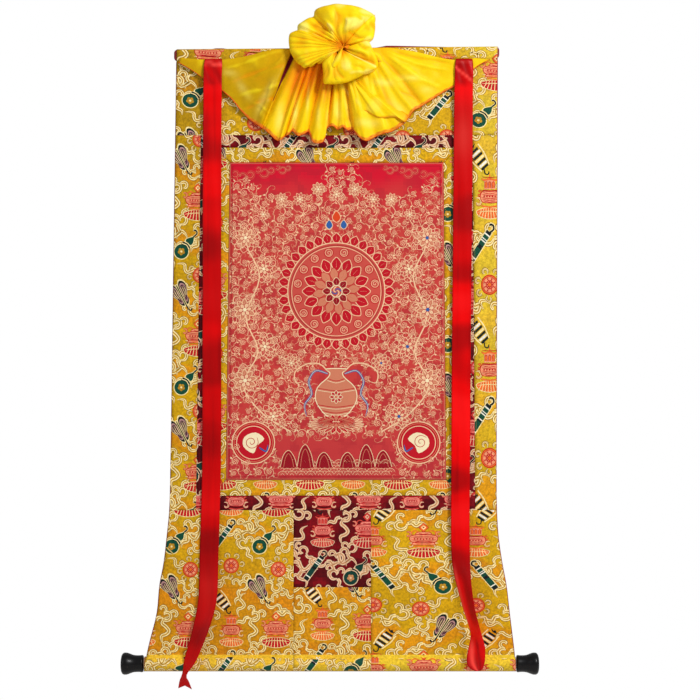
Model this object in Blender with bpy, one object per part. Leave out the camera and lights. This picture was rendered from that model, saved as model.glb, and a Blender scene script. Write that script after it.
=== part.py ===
# Thangka scroll painting: a painting in a brocade mount, hung from a flat stave, with a
# bottom roller, a swagged silk veil with a rosette, and two satin ribbons.
# Millimetres in the tables, metres in the meshes. The front faces -Y, up is +Z, and the
# origin is the middle of the stave's top edge.

import math

import bmesh
import bpy
import numpy as np

MM = 0.001
ORIGIN_DROP = 12.5          # the tables' zero is the stave's middle line
CLOTH = 1.2                 # thickness of the mount's brocade
LINING_CLOTH = 1.0
VEIL_CLOTH = 1.5
RIBBON_CLOTH = 1.2
GAP = 0.3                   # between neighbouring pieces
LINING_GAP = 0.5
STAVE_SLOPE = 0.0087        # the stave hangs a little higher at the right

STAVE_LEFT, STAVE_RIGHT = -336.0, 334.0
STAVE_SECTION = [(-3, 11), (-4.5, 9.5), (-4.5, -9.5), (-3, -11), (3, -11), (4.5, -9.5), (4.5, 9.5), (3, 11)]
ROLLER_Z = -1256.6
ROLLER_RADIUS = 14.5
SLEEVE_RADIUS = 14.8        # inside face of the sleeve
SLEEVE_TOP = -1238.6

# outer edges of the mount: z, left x, right x
EDGES = [
    (12, -330.0, 330.0), (-167.4, -332.5, 329.4), (-400, -336.0, 328.6), (-700, -340.0, 327.8),
    (-857.6, -342.4, 327.2), (-939.9, -344.6, 328.0), (-995, -350.0, 331.5), (-1051, -356.8, 339.5),
    (-1094.4, -365.0, 347.5), (-1152, -370.5, 354.0), (-1210, -385.0, 361.5), (-1238.6, -391.5, 364.8),
    (-1275, -397.5, 367.8),
]
# upright seams: x at the top border, x at the bottom border
SEAM_TOP, SEAM_BOTTOM = -167.4, -939.9
SEAMS = {
    "strip_left": (-280.6, -290.9), "red_left": (-250.7, -258.9), "inner_left": (-220.8, -230.1),
    "inner_right": (218.8, 225.2), "red_right": (248.8, 255.0), "strip_right": (278.7, 284.9),
}
RED_TOP, INNER_TOP, PAINT_TOP = -193.1, -223.6, -878.2
INNER_LOW, LOW_TOP = -910.1, -939.9
PAINT_HEAD, PAINT_FOOT = -223.6, -878.2
DOOR_LEFT, DOOR_RIGHT, DOOR_FOOT = -89.8, 69.7, -1099.3

# knob outline: distance out from the roller's end, radius
KNOB = [(0, 15.2), (1.5, 17.4), (12, 16.9), (20, 17.6), (28, 20.4), (34, 22.3), (39.5, 22.4), (43, 20.2), (45.3, 15.5)]

# folds of the veil from left to right: where a fold leaves the top, where it meets the hem,
# and how far it stands in front of the mount at the top, half way and at the hem
VEIL_FOLDS = [
    # topX, topZ, hemX, hemZ, outTop, outMiddle, outHem
    (-321.8, -8.8, -325.9, -19.1, 9.6, 9.4, 9.2), (-303.2, -10.8, -299.1, -34.5, 9.8, 9.4, 8.6),
    (-282.6, -12.5, -274.4, -52.0, 10.0, 9.5, 8.2), (-257.9, -13.3, -253.8, -65.4, 10.0, 9.6, 8.2),
    (-235.3, -12.9, -233.2, -77.8, 10.0, 9.8, 8.4), (-212.6, -10.4, -212.6, -95.0, 10.6, 12.0, 9.0),
    (-194.1, -6.7, -194.1, -124.1, 11.5, 15.0, 9.5), (-175.5, -1.8, -179.6, -136.5, 12.5, 17.0, 10.0),
    (-157.0, 3.0, -165.2, -146.8, 14.0, 19.5, 11.0), (-140.5, 5.7, -152.9, -155.0, 15.0, 20.5, 12.0),
    (-126.1, 7.7, -142.6, -161.2, 16.0, 18.0, 13.0), (-108.0, 7.7, -131.0, -170.5, 17.0, 13.5, 12.0),
    (-95.2, 5.7, -114.0, -177.5, 18.0, 18.5, 17.5), (-86.0, 0.0, -101.4, -178.8, 19.0, 20.5, 15.0),
    (-80.0, -7.0, -98.0, -163.0, 19.5, 13.0, 9.5), (-70.0, -11.0, -84.0, -160.0, 21.0, 21.5, 19.0),
    (-60.5, -14.0, -66.5, -162.0, 21.0, 14.5, 11.0), (-54.0, -15.0, -58.5, -182.5, 23.0, 23.0, 20.0),
    (-44.5, -15.5, -42.0, -187.0, 23.5, 25.0, 21.5), (-35.0, -15.5, -25.5, -181.0, 22.0, 19.0, 15.5),
    (-29.0, -15.5, -21.0, -155.5, 21.0, 13.5, 9.5), (-20.5, -15.0, -8.5, -151.5, 23.0, 22.0, 18.0),
    (-12.0, -14.0, 2.0, -158.0, 22.0, 16.0, 12.0), (-4.5, -13.0, 12.0, -153.0, 23.0, 23.0, 18.5),
    (4.0, -11.5, 22.5, -160.0, 22.0, 15.5, 11.5), (14.0, -9.0, 32.5, -156.5, 22.0, 14.0, 9.8),
    (24.0, -6.5, 43.5, -171.5, 22.0, 22.5, 17.0), (35.0, -2.5, 59.5, -181.5, 20.5, 25.0, 19.0),
    (49.0, 1.5, 82.0, -171.5, 18.5, 21.5, 14.5), (64.0, 5.5, 108.5, -163.3, 17.0, 24.0, 17.0),
    (80.0, 9.5, 137.5, -146.0, 15.5, 19.5, 12.5), (94.5, 11.0, 152.5, -123.5, 14.5, 18.5, 11.0),
    (113.0, 10.0, 168.5, -112.8, 13.0, 19.5, 10.5), (135.5, 7.5, 201.5, -91.2, 12.2, 16.0, 9.6),
    (156.0, 3.5, 226.5, -75.5, 11.5, 12.5, 8.8), (177.0, -0.5, 242.7, -66.5, 10.6, 10.6, 8.6),
    (199.5, -6.5, 265.5, -47.0, 10.2, 10.0, 8.4), (222.0, -11.5, 288.0, -27.5, 10.0, 9.8, 8.8),
    (244.5, -13.9, 303.0, -18.0, 10.0, 9.8, 9.2), (283.5, -10.0, 313.5, -13.5, 9.8, 9.6, 9.4),
]
# the rosette's folds, anticlockwise from the right: direction in degrees, reach from the
# gather, how far the fold puffs out, and how far its rim stands in front of the mount
GATHER_X, GATHER_Z = 17.1, 8.1
ROSETTE_FOLDS = [
    # direction, reach, puff, rim
    (3, 52, 12, 26), (12, 47, 8, 27), (18, 58, 15, 26), (30, 64, 24, 24), (40, 72, 28, 22), (50, 82, 27, 20),
    (62, 87, 30, 18), (72, 87, 32, 18), (84, 90, 30, 18), (95, 92, 33, 18), (108, 92, 27, 18), (118, 95, 31, 18),
    (123, 99, 24, 18), (130, 96, 17, 19), (136, 90, 23, 19), (142, 98, 18, 19), (148, 103, 24, 20),
    (153, 108, 18, 20), (158, 104, 15, 20), (163, 114, 22, 20), (168, 117, 17, 21), (173, 115, 22, 22),
    (178, 114, 17, 22), (183, 113, 22, 23), (188, 112, 18, 24), (193, 113, 22, 25), (198, 106, 17, 26),
    (205, 96, 22, 28), (211, 90, 17, 30), (217, 76, 20, 31), (223, 66, 14, 33), (230, 62, 10, 34),
    (238, 84, 14, 35), (246, 82, 20, 35), (256, 78, 17, 35), (268, 76, 22, 35), (280, 74, 18, 35),
    (291, 70, 24, 34), (304, 68, 17, 33), (316, 73, 26, 32), (324, 76, 23, 32), (334, 74, 12, 31), (345, 64, 20, 29),
]
# ribbons: middle x, z, width, distance in front of the mount, turn in degrees
RIBBON_LEFT = [
    (-253.8, -12.2, 35, 13.6, 0), (-254.8, -24, 38, 14.2, 3), (-255.5, -45, 38, 14.2, 0), (-255.8, -80, 38, 14.0, 0),
    (-256.4, -112, 38, 9.5, 2), (-257.0, -192, 38, 7.8, 0), (-257.5, -330, 38.5, 7.6, -2), (-257.6, -470, 38.5, 7.8, 2),
    (-257.8, -620, 39, 7.6, 0), (-257.9, -760, 39, 7.8, -2), (-258.5, -858, 39, 8.4, 3), (-261.0, -960, 39.5, 10.0, 8),
    (-263.0, -1030, 41, 13.0, 15), (-265.5, -1117, 41, 17.0, 18), (-276.5, -1172, 40, 21.0, 28),
    (-291.0, -1218, 37, 25.5, 37), (-301.5, -1247, 33, 28.5, 42), (-312.0, -1273, 19, 29.0, 58),
    (-312.5, -1288, 24, 26.0, 32), (-311.5, -1304, 30, 22.5, 18),
]
RIBBON_RIGHT = [
    (261.0, -11.9, 34, 13.6, 0), (260.8, -24, 37, 14.2, -3), (260.6, -45, 38, 14.4, 2), (260.0, -66, 38, 14.0, 0),
    (259.8, -100, 38.5, 10.0, 0), (259.2, -192, 39, 7.8, 2), (258.0, -330, 39, 7.6, 0), (256.6, -480, 39, 7.8, -2),
    (255.2, -640, 39, 7.6, 0), (254.4, -780, 39, 7.8, 2), (253.8, -880, 38.5, 8.4, 0), (253.2, -960, 38.5, 10.0, 4),
    (253.8, -1030, 38.5, 14.0, 14), (257.0, -1072, 38.5, 20.0, 34), (263.0, -1110, 38, 25.5, 58),
    (270.0, -1148, 38, 28.5, 82), (275.5, -1180, 38, 29.5, 112), (279.5, -1210, 38, 30.0, 138),
    (283.5, -1238, 36, 30.5, 150), (286.0, -1258, 32, 30.0, 140), (286.5, -1272, 24, 29.5, 128),
]


def smooth(low, high, value):
    t = min(1.0, max(0.0, (value - low) / (high - low)))
    return t * t * (3 - 2 * t)


def tableCurve(table, column, key, keyColumn=0):
    """Value of one column at key, rounded smoothly through the rows."""
    rows = sorted((row[keyColumn], row[column]) for row in table)
    if key <= rows[0][0]:
        return rows[0][1]
    if key >= rows[-1][0]:
        return rows[-1][1]
    i = max(n for n, row in enumerate(rows[:-1]) if row[0] <= key)

    def slope(n):
        a, b = rows[max(n - 1, 0)], rows[min(n + 1, len(rows) - 1)]
        return (b[1] - a[1]) / (b[0] - a[0])

    (k0, v0), (k1, v1) = rows[i], rows[i + 1]
    h = k1 - k0
    t = (key - k0) / h
    m0, m1 = slope(i) * h, slope(i + 1) * h
    return ((2 * t**3 - 3 * t**2 + 1) * v0 + (t**3 - 2 * t**2 + t) * m0
            + (3 * t**2 - 2 * t**3) * v1 + (t**3 - t**2) * m1)


def edgeLeft(z):
    return tableCurve(EDGES, 1, z)


def edgeRight(z):
    return tableCurve(EDGES, 2, z)


def seamX(name, z):
    top, bottom = SEAMS[name]
    return top + (bottom - top) * (z - SEAM_TOP) / (SEAM_BOTTOM - SEAM_TOP)


def hangY(x, z):
    """How far the hanging cloth's seam plane lies behind the straight plane through the stave."""
    ease = smooth(-20, -260, z) * smooth(SLEEVE_TOP, -1150, z)
    y = 1.9 * math.sin(x / 96.0 + 0.6) + 1.3 * math.sin(x / 61.0 - z / 260.0)
    low = smooth(-900, -1090, z) * smooth(SLEEVE_TOP, -1175, z)
    y += low * 3.0 * math.sin(x / 74.0 + z / 190.0 + 1.0)
    side = smooth(230, 345, x) + smooth(-250, -360, x)
    y -= low * side * 2.4 * math.sin((z + 0.5 * abs(x)) / 40.0 + 0.8)
    return ease * y


def lift(x, z):
    return z + STAVE_SLOPE * x * smooth(-150, -14, z)


def sectionNormals(section):
    """Unit normals of a polyline of (y, z), mitred so that an offset keeps its thickness."""
    normals = []
    for i in range(len(section)):
        sides = []
        for a, b in ((i - 1, i), (i, i + 1)):
            if 0 <= a and b < len(section):
                dy, dz = section[b][0] - section[a][0], section[b][1] - section[a][1]
                size = math.hypot(dy, dz)
                sides.append((dz / size, -dy / size))
        ny = sum(s[0] for s in sides) / len(sides)
        nz = sum(s[1] for s in sides) / len(sides)
        size = ny * ny + nz * nz
        normals.append((ny / size, nz / size))
    return normals


def makeObject(name, verts, faces, material, collection):
    mesh = bpy.data.meshes.new(name)
    mesh.from_pydata([(x * MM, y * MM, (z - ORIGIN_DROP) * MM) for x, y, z in verts], [], faces)
    mesh.update()
    bm = bmesh.new()
    bm.from_mesh(mesh)
    bmesh.ops.recalc_face_normals(bm, faces=bm.faces)
    bmesh.ops.triangulate(bm, faces=bm.faces)
    bm.to_mesh(mesh)
    bm.free()
    mesh.materials.append(material)
    obj = bpy.data.objects.new(name, mesh)
    collection.objects.link(obj)
    return obj


def thickGrid(front, back):
    """Closed body between two grids of points with the same rows and columns."""
    rows, columns = len(front), len(front[0])
    verts = [p for row in front for p in row] + [p for row in back for p in row]
    shift = rows * columns

    def at(i, j, layer=0):
        return layer * shift + i * columns + j

    faces = []
    for i in range(rows - 1):
        for j in range(columns - 1):
            faces.append((at(i, j), at(i + 1, j), at(i + 1, j + 1), at(i, j + 1)))
            faces.append((at(i, j, 1), at(i, j + 1, 1), at(i + 1, j + 1, 1), at(i + 1, j, 1)))
    for i in range(rows - 1):
        for j in (0, columns - 1):
            faces.append((at(i, j), at(i + 1, j), at(i + 1, j, 1), at(i, j, 1)))
    for j in range(columns - 1):
        for i in (0, rows - 1):
            faces.append((at(i, j), at(i, j + 1), at(i, j + 1, 1), at(i, j, 1)))
    return verts, faces


def panel(name, left, right, top, bottom, columns, rows, material, collection, before=(), after=()):
    """Hanging panel of the mount. left and right give x at a height, top and bottom give z
    across the panel. before and after are (y, z) points of the cloth that goes over the
    stave or round the roller."""
    front = [[] for _ in range(rows + 1 + len(before) + len(after))]
    back = [[] for _ in front]
    for j in range(columns + 1):
        s = j / columns
        zTop, zBottom = top(s), bottom(s)
        heights = [zTop + (zBottom - zTop) * i / rows for i in range(rows + 1)]

        def across(z):
            return left(z) + (right(z) - left(z)) * s

        section = list(before) + [(hangY(across(z), z), z) for z in heights] + list(after)
        for i, ((y, z), (ny, nz)) in enumerate(zip(section, sectionNormals(section))):
            x = across(z)
            back[i].append((x, y, lift(x, z)))
            front[i].append((x, y + ny * CLOTH, lift(x, z) + nz * CLOTH))
    return makeObject(name, *thickGrid(front, back), material, collection)


def arc(radius, start, end, steps, side):
    """Points (y, z) round the roller. Angles run from the top, side -1 is the front."""
    points = []
    for i in range(steps + 1):
        a = math.radians(start + (end - start) * i / steps)
        points.append((side * radius * math.sin(a), ROLLER_Z + radius * math.cos(a)))
    return points


def material(name, colour, roughness):
    made = bpy.data.materials.new(name)
    made.use_nodes = True
    shader = made.node_tree.nodes["Principled BSDF"]
    shader.inputs["Base Color"].default_value = (*colour, 1.0)
    shader.inputs["Roughness"].default_value = roughness
    return made


def makeStave(collection):
    rows = []
    ends = [(STAVE_LEFT, 0.55), (STAVE_LEFT + 1.5, 0.85), (STAVE_LEFT + 4.5, 1.0),
            (STAVE_RIGHT - 4.5, 1.0), (STAVE_RIGHT - 1.5, 0.85), (STAVE_RIGHT, 0.55)]
    for x, size in ends:
        rows.append([(x, y * size, z * size + STAVE_SLOPE * x) for y, z in STAVE_SECTION])
    count = len(STAVE_SECTION)
    faces = [tuple(range(count)), tuple((len(rows) - 1) * count + k for k in reversed(range(count)))]
    for i in range(len(rows) - 1):
        for k in range(count):
            n = (k + 1) % count
            faces.append((i * count + k, i * count + n, (i + 1) * count + n, (i + 1) * count + k))
    verts = [p for row in rows for p in row]
    makeObject("top_stave", verts, faces, material("top_stave", (0.25, 0.02, 0.03), 0.55), collection)


def makeRound(name, profile, start, direction, sides, colour, roughness, collection):
    """Turned piece: profile rows are distance along X from start, radius."""
    verts, faces = [], []
    for along, radius in profile:
        for k in range(sides):
            a = 2 * math.pi * k / sides
            verts.append((start + direction * along, radius * math.sin(a), ROLLER_Z + radius * math.cos(a)))
    for i in range(len(profile) - 1):
        for k in range(sides):
            n = (k + 1) % sides
            faces.append((i * sides + k, i * sides + n, (i + 1) * sides + n, (i + 1) * sides + k))
    faces.append(tuple(range(sides)))
    faces.append(tuple((len(profile) - 1) * sides + k for k in reversed(range(sides))))
    makeObject(name, verts, faces, material(name, colour, roughness), collection)


def makePanels(collection):
    yellow, red = (0.62, 0.42, 0.04), (0.22, 0.0, 0.01)

    def fixed(value):
        return lambda _: value

    def seam(name, inset):
        return lambda z: seamX(name, z) + inset

    half = GAP / 2
    over = [(-0.2, 11.3), (-3.12, 11.3), (-4.8, 9.62), (-4.8, -9.62), (-2.4, -13.6)]
    panel("brocade_top", lambda z: edgeLeft(z), lambda z: edgeRight(z), fixed(-17.5), fixed(-167.4 + half),
          16, 3, material("brocade_top", yellow, 0.6), collection, before=over)
    panel("brocade_left", lambda z: edgeLeft(z), seam("strip_left", -half), fixed(-167.4 - half),
          fixed(LOW_TOP + half), 2, 8, material("brocade_left", yellow, 0.6), collection)
    panel("brocade_right", seam("strip_right", half), lambda z: edgeRight(z), fixed(-167.4 - half),
          fixed(LOW_TOP + half), 2, 8, material("brocade_right", yellow, 0.6), collection)
    panel("frame_red_top", seam("strip_left", half), seam("strip_right", -half), fixed(-167.4 - half),
          fixed(RED_TOP + half), 14, 1, material("frame_red_top", red, 0.6), collection)
    panel("frame_red_bottom", seam("strip_left", half), seam("strip_right", -half), fixed(INNER_LOW - half),
          fixed(LOW_TOP + half), 14, 1, material("frame_red_bottom", red, 0.6), collection)
    panel("frame_red_left", seam("strip_left", half), seam("red_left", -half), fixed(RED_TOP - half),
          fixed(INNER_LOW + half), 1, 8, material("frame_red_left", red, 0.6), collection)
    panel("frame_red_right", seam("red_right", half), seam("strip_right", -half), fixed(RED_TOP - half),
          fixed(INNER_LOW + half), 1, 8, material("frame_red_right", red, 0.6), collection)

    # inner border, mitred at its corners
    topDrop, lowRise = PAINT_HEAD - RED_TOP, INNER_LOW - PAINT_FOOT

    def mitre(outer, inner, z):
        if z > PAINT_HEAD:
            t = (z - RED_TOP) / topDrop
        else:
            t = (INNER_LOW - z) / lowRise
        t = min(1.0, max(0.0, t))
        return seamX(outer, z) * (1 - t) + seamX(inner, z) * t

    gold = (0.66, 0.46, 0.06)
    panel("inner_top", lambda z: mitre("red_left", "inner_left", z) + GAP,
          lambda z: mitre("red_right", "inner_right", z) - GAP, fixed(RED_TOP - half), fixed(PAINT_HEAD + half),
          12, 1, material("inner_top", gold, 0.6), collection)
    panel("inner_bottom", lambda z: mitre("red_left", "inner_left", z) + GAP,
          lambda z: mitre("red_right", "inner_right", z) - GAP, fixed(PAINT_FOOT - half), fixed(INNER_LOW + half),
          12, 1, material("inner_bottom", gold, 0.6), collection)
    panel("inner_left", seam("red_left", half), seam("inner_left", -half),
          lambda s: RED_TOP - GAP + topDrop * s, lambda s: INNER_LOW + GAP - lowRise * s,
          1, 8, material("inner_left", gold, 0.6), collection)
    panel("inner_right", seam("inner_right", half), seam("red_right", -half),
          lambda s: PAINT_HEAD - GAP - topDrop * s, lambda s: PAINT_FOOT + GAP + lowRise * s,
          1, 8, material("inner_right", gold, 0.6), collection)
    panel("painting", seam("inner_left", half), seam("inner_right", -half), fixed(PAINT_HEAD - half),
          fixed(PAINT_FOOT + half), 12, 9, material("painting", (0.45, 0.05, 0.06), 0.75), collection)

    # lower panels run down and round the front of the roller
    wrap = arc(SLEEVE_RADIUS, 45, 151.5, 5, -1)
    panel("door", fixed(DOOR_LEFT + half), fixed(DOOR_RIGHT - half), fixed(LOW_TOP - half),
          fixed(DOOR_FOOT + half), 5, 3, material("door", red, 0.6), collection)
    panel("brocade_low_left", lambda z: edgeLeft(z), fixed(DOOR_LEFT - half), fixed(LOW_TOP - half),
          fixed(SLEEVE_TOP), 10, 7, material("brocade_low_left", yellow, 0.6), collection, after=wrap)
    panel("brocade_low_mid", fixed(DOOR_LEFT + half), fixed(DOOR_RIGHT - half), fixed(DOOR_FOOT - half),
          fixed(SLEEVE_TOP), 5, 3, material("brocade_low_mid", yellow, 0.6), collection, after=wrap)
    panel("brocade_low_right", fixed(DOOR_RIGHT + half), lambda z: edgeRight(z), fixed(LOW_TOP - half),
          fixed(SLEEVE_TOP), 10, 7, material("brocade_low_right", yellow, 0.6), collection, after=wrap)


def makeLining(collection):
    """Dark-red backing: over the stave's back, down behind every panel and round the back of
    the roller, where its edge shows under the sleeve."""
    columns = 21
    heights = [-17.5, -67.5, -117.4, -167.4]
    heights += [-167.4 + (LOW_TOP + 167.4) * i / 8 for i in range(1, 9)]
    heights += [LOW_TOP + (SLEEVE_TOP - LOW_TOP) * i / 7 for i in range(1, 8)]
    above = [(0.1, 11.3), (3.12, 11.3), (4.8, 9.62), (4.8, -9.62), (2.6, -13.6)]
    below = arc(SLEEVE_RADIUS, 45, 180, 6, 1) + arc(SLEEVE_RADIUS, 166, 153, 1, -1)
    front = [[] for _ in range(len(above) + len(heights) + len(below))]
    back = [[] for _ in front]
    for j in range(columns + 1):
        s = j / columns

        def across(z):
            return edgeLeft(z) - 1.6 + (edgeRight(z) - edgeLeft(z) + 3.2) * s

        section = list(above) + [(hangY(across(z), z) + LINING_GAP, z) for z in heights] + list(below)
        for i, ((y, z), (ny, nz)) in enumerate(zip(section, sectionNormals(section))):
            x = across(z)
            pucker = 0.0
            if i < 2:
                pucker = 3.0 * smooth(76, 100, x) * smooth(275, 250, x) + 2.0 * smooth(-262, -250, x) * smooth(-225, -238, x)
            front[i].append((x, y, lift(x, z) + pucker))
            back[i].append((x, y - ny * LINING_CLOTH, lift(x, z) - nz * LINING_CLOTH + pucker))
    makeObject("lining", *thickGrid(front, back), material("lining", (0.2, 0.0, 0.012), 0.7), collection)


def surfaceNormals(points):
    grid = np.array(points)
    down, right = np.gradient(grid, axis=0), np.gradient(grid, axis=1)
    normal = np.cross(right, down)
    size = np.linalg.norm(normal, axis=2, keepdims=True)
    return grid, normal / np.maximum(size, 1e-9)


def clothBody(points, thickness, wrap=False):
    """Closed body of a cloth whose middle runs through the grid of points."""
    if wrap:
        width = len(points[0])
        padded = [[row[-1]] + row + [row[0]] for row in points]
        grid, normal = surfaceNormals(padded)
        grid, normal = grid[:, 1:width + 1], normal[:, 1:width + 1]
    else:
        grid, normal = surfaceNormals(points)
    front = (grid - normal * thickness / 2).tolist()
    back = (grid + normal * thickness / 2).tolist()
    if not wrap:
        return thickGrid(front, back)
    for grids in (front, back):
        for row in grids:
            row.append(row[0])
    verts, faces = thickGrid(front, back)
    rows, columns = len(front), len(front[0])
    last = {i * columns + columns - 1 + layer * rows * columns: i * columns + layer * rows * columns
            for i in range(rows) for layer in (0, 1)}
    kept = []
    for face in faces:
        merged = [last.get(v, v) for v in face]
        if len(set(merged)) == 4 and not all(v in last or v in last.values() for v in face):
            kept.append(tuple(merged))
    used = sorted({v for face in kept for v in face})
    index = {v: n for n, v in enumerate(used)}
    return [verts[v] for v in used], [tuple(index[v] for v in face) for face in kept]


def veilSheet():
    rows = 5
    points = [[] for _ in range(rows + 1)]
    count = len(VEIL_FOLDS)
    keyed = [(n, *fold) for n, fold in enumerate(VEIL_FOLDS)]
    for j in range(2 * count - 1):
        place = j / 2
        topX, topZ, hemX, hemZ, outTop, outMiddle, outHem = (tableCurve(keyed, c, place) for c in range(1, 8))
        for i in range(rows + 1):
            t = i / rows
            out = outTop * (1 - t) * (1 - 2 * t) + 4 * outMiddle * t * (1 - t) + outHem * t * (2 * t - 1)
            fan = t ** 0.92
            points[i].append((topX + (hemX - topX) * fan, -out, topZ + (hemZ - topZ) * t))
    return clothBody(points, VEIL_CLOTH)


def rosetteSheet():
    """Bunched top of the veil: pleats run out from the gather, puff forward and curl back."""
    # share of reach, share of puff, share of the way back to the rim's depth
    steps = [(0.07, 0.0, 0.0), (0.22, 0.62, 0.0), (0.45, 1.0, 0.05), (0.7, 0.92, 0.35),
             (0.9, 0.5, 0.75), (1.0, 0.1, 1.0), (0.97, -0.35, 1.15)]
    gatherOut = 38.0
    points = []
    for reachShare, puffShare, rimShare in steps:
        row = []
        for direction, reach, puff, rim in ROSETTE_FOLDS:
            a = math.radians(direction)
            out = gatherOut + (rim - gatherOut) * rimShare + puff * puffShare
            r = reach * reachShare
            row.append((GATHER_X + r * math.cos(a), -out, GATHER_Z + r * math.sin(a)))
        points.append(row)
    return clothBody(points, VEIL_CLOTH, wrap=True)


def neckBody():
    """Twisted bunch of cloth that joins the swags to the rosette."""
    verts, faces = [], []
    rings = [(16, 5, -18, -2), (18, 12, -6, -1), (26, 13, 2, 1), (34, 10, 14, 5), (40.5, 7.5, 17.1, 8.1), (43, 4, 17.1, 8.1)]
    sides = 12
    for out, radius, x, z in rings:
        for k in range(sides):
            a = 2 * math.pi * k / sides
            verts.append((x + radius * math.cos(a), -out, z + radius * math.sin(a)))
    for i in range(len(rings) - 1):
        for k in range(sides):
            n = (k + 1) % sides
            faces.append((i * sides + k, i * sides + n, (i + 1) * sides + n, (i + 1) * sides + k))
    faces.append(tuple(range(sides)))
    faces.append(tuple((len(rings) - 1) * sides + k for k in reversed(range(sides))))
    return verts, faces


def makeVeil(collection, cutters):
    silk = material("veil", (0.95, 0.62, 0.01), 0.45)
    veil = makeObject("veil", *veilSheet(), silk, collection)
    for name, body in (("veil_neck", neckBody()), ("veil_rosette", rosetteSheet())):
        tool = makeObject(name, *body, silk, cutters)
        tool.hide_render = True
        tool.display_type = "WIRE"
        join = veil.modifiers.new(name, "BOOLEAN")
        join.operation = "UNION"
        join.solver = "EXACT"
        join.object = tool


def makeRibbon(name, table, notch, collection):
    across = 4
    last = len(table) - 1
    places = [float(n) for n in range(12)] + [n / 2 for n in range(24, 2 * last + 1)]
    keyed = [(n, *row) for n, row in enumerate(table)]
    points = []
    for place in places:
        x, z, width, out, turn = (tableCurve(keyed, c, place) for c in range(1, 6))
        a = math.radians(turn)
        row = []
        for j in range(across + 1):
            s = 2 * j / across - 1
            cup = 0.8 * (1 - s * s)
            tail = notch * (1 - abs(s)) * smooth(last - 1.5, last, place)
            row.append((x + s * width / 2 * math.cos(a), -out - s * width / 2 * math.sin(a) - cup, z + tail))
        points.append(row)
    satin = material(name, (0.62, 0.0, 0.01), 0.3)
    makeObject(name, *clothBody(points, RIBBON_CLOTH), satin, collection)


def main():
    for obj in list(bpy.data.objects):
        bpy.data.objects.remove(obj, do_unlink=True)
    collection = bpy.data.collections.new("thangka_scroll")
    cutters = bpy.data.collections.new("cutters")
    bpy.context.scene.collection.children.link(collection)
    bpy.context.scene.collection.children.link(cutters)
    cutters.hide_render = True
    makeStave(collection)
    makePanels(collection)
    makeLining(collection)
    left, right = edgeLeft(-1275), edgeRight(-1275)
    roller = [(0, ROLLER_RADIUS), (right - left - 1.0, ROLLER_RADIUS)]
    makeRound("roller", roller, left + 0.5, 1, 24, (0.3, 0.16, 0.06), 0.6, collection)
    makeRound("knob_left", KNOB, left - 1.6 - GAP, -1, 24, (0.01, 0.01, 0.01), 0.35, collection)
    makeRound("knob_right", KNOB, right + 1.6 + GAP, 1, 24, (0.01, 0.01, 0.01), 0.35, collection)
    makeVeil(collection, cutters)
    makeRibbon("ribbon_left", RIBBON_LEFT, 7.0, collection)
    makeRibbon("ribbon_right", RIBBON_RIGHT, 0.0, collection)


main()
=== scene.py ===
import math
import bpy
import bmesh
import numpy as np
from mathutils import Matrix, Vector, noise
from mathutils.geometry import tessellate_polygon


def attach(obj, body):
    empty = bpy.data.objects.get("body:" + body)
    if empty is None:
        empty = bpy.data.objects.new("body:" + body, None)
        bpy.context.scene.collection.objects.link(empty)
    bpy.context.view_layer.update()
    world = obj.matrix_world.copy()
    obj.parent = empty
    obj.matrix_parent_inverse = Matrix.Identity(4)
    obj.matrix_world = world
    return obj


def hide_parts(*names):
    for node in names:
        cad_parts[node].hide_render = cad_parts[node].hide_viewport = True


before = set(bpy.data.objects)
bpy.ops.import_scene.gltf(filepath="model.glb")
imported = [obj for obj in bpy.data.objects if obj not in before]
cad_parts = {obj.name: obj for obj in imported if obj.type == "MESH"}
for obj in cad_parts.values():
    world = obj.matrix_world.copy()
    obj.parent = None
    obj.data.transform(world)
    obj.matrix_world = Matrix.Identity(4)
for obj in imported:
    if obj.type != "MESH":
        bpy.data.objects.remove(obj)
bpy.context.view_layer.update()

mm = 0.001
originDrop = 12.5  # millimetre tables count from the stave's middle line
fullTurn = 6.2832  # radians
wrapEnd = -18.5  # height where the cloth over the stave becomes the hanging cloth


def tone(code):
    # hex colour to linear values
    values = [int(code[i:i + 2], 16) / 255 for i in (0, 2, 4)]
    return tuple(v / 12.92 if v <= 0.04045 else ((v + 0.055) / 1.055) ** 2.4 for v in values)


def ease(low, high, value):
    t = np.clip((np.asarray(value, float) - low) / (high - low), 0, 1)
    return t * t * (3 - 2 * t)


def curveThrough(rows, column, at, keyColumn=0):
    # smooth curve through one column of a table
    rows = sorted(rows, key=lambda row: row[keyColumn])
    k = np.array([row[keyColumn] for row in rows], float)
    v = np.array([row[column] for row in rows], float)
    m = np.empty(len(k))
    m[1:-1] = (v[2:] - v[:-2]) / (k[2:] - k[:-2])
    m[0], m[-1] = (v[1] - v[0]) / (k[1] - k[0]), (v[-1] - v[-2]) / (k[-1] - k[-2])
    at = np.clip(np.asarray(at, float), k[0], k[-1])
    i = np.clip(np.searchsorted(k, at, side="right") - 1, 0, len(k) - 2)
    h = k[i + 1] - k[i]
    t = (at - k[i]) / h
    return ((2 * t**3 - 3 * t**2 + 1) * v[i] + (t**3 - 2 * t**2 + t) * m[i] * h
            + (3 * t**2 - 2 * t**3) * v[i + 1] + (t**3 - t**2) * m[i + 1] * h)


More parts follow.
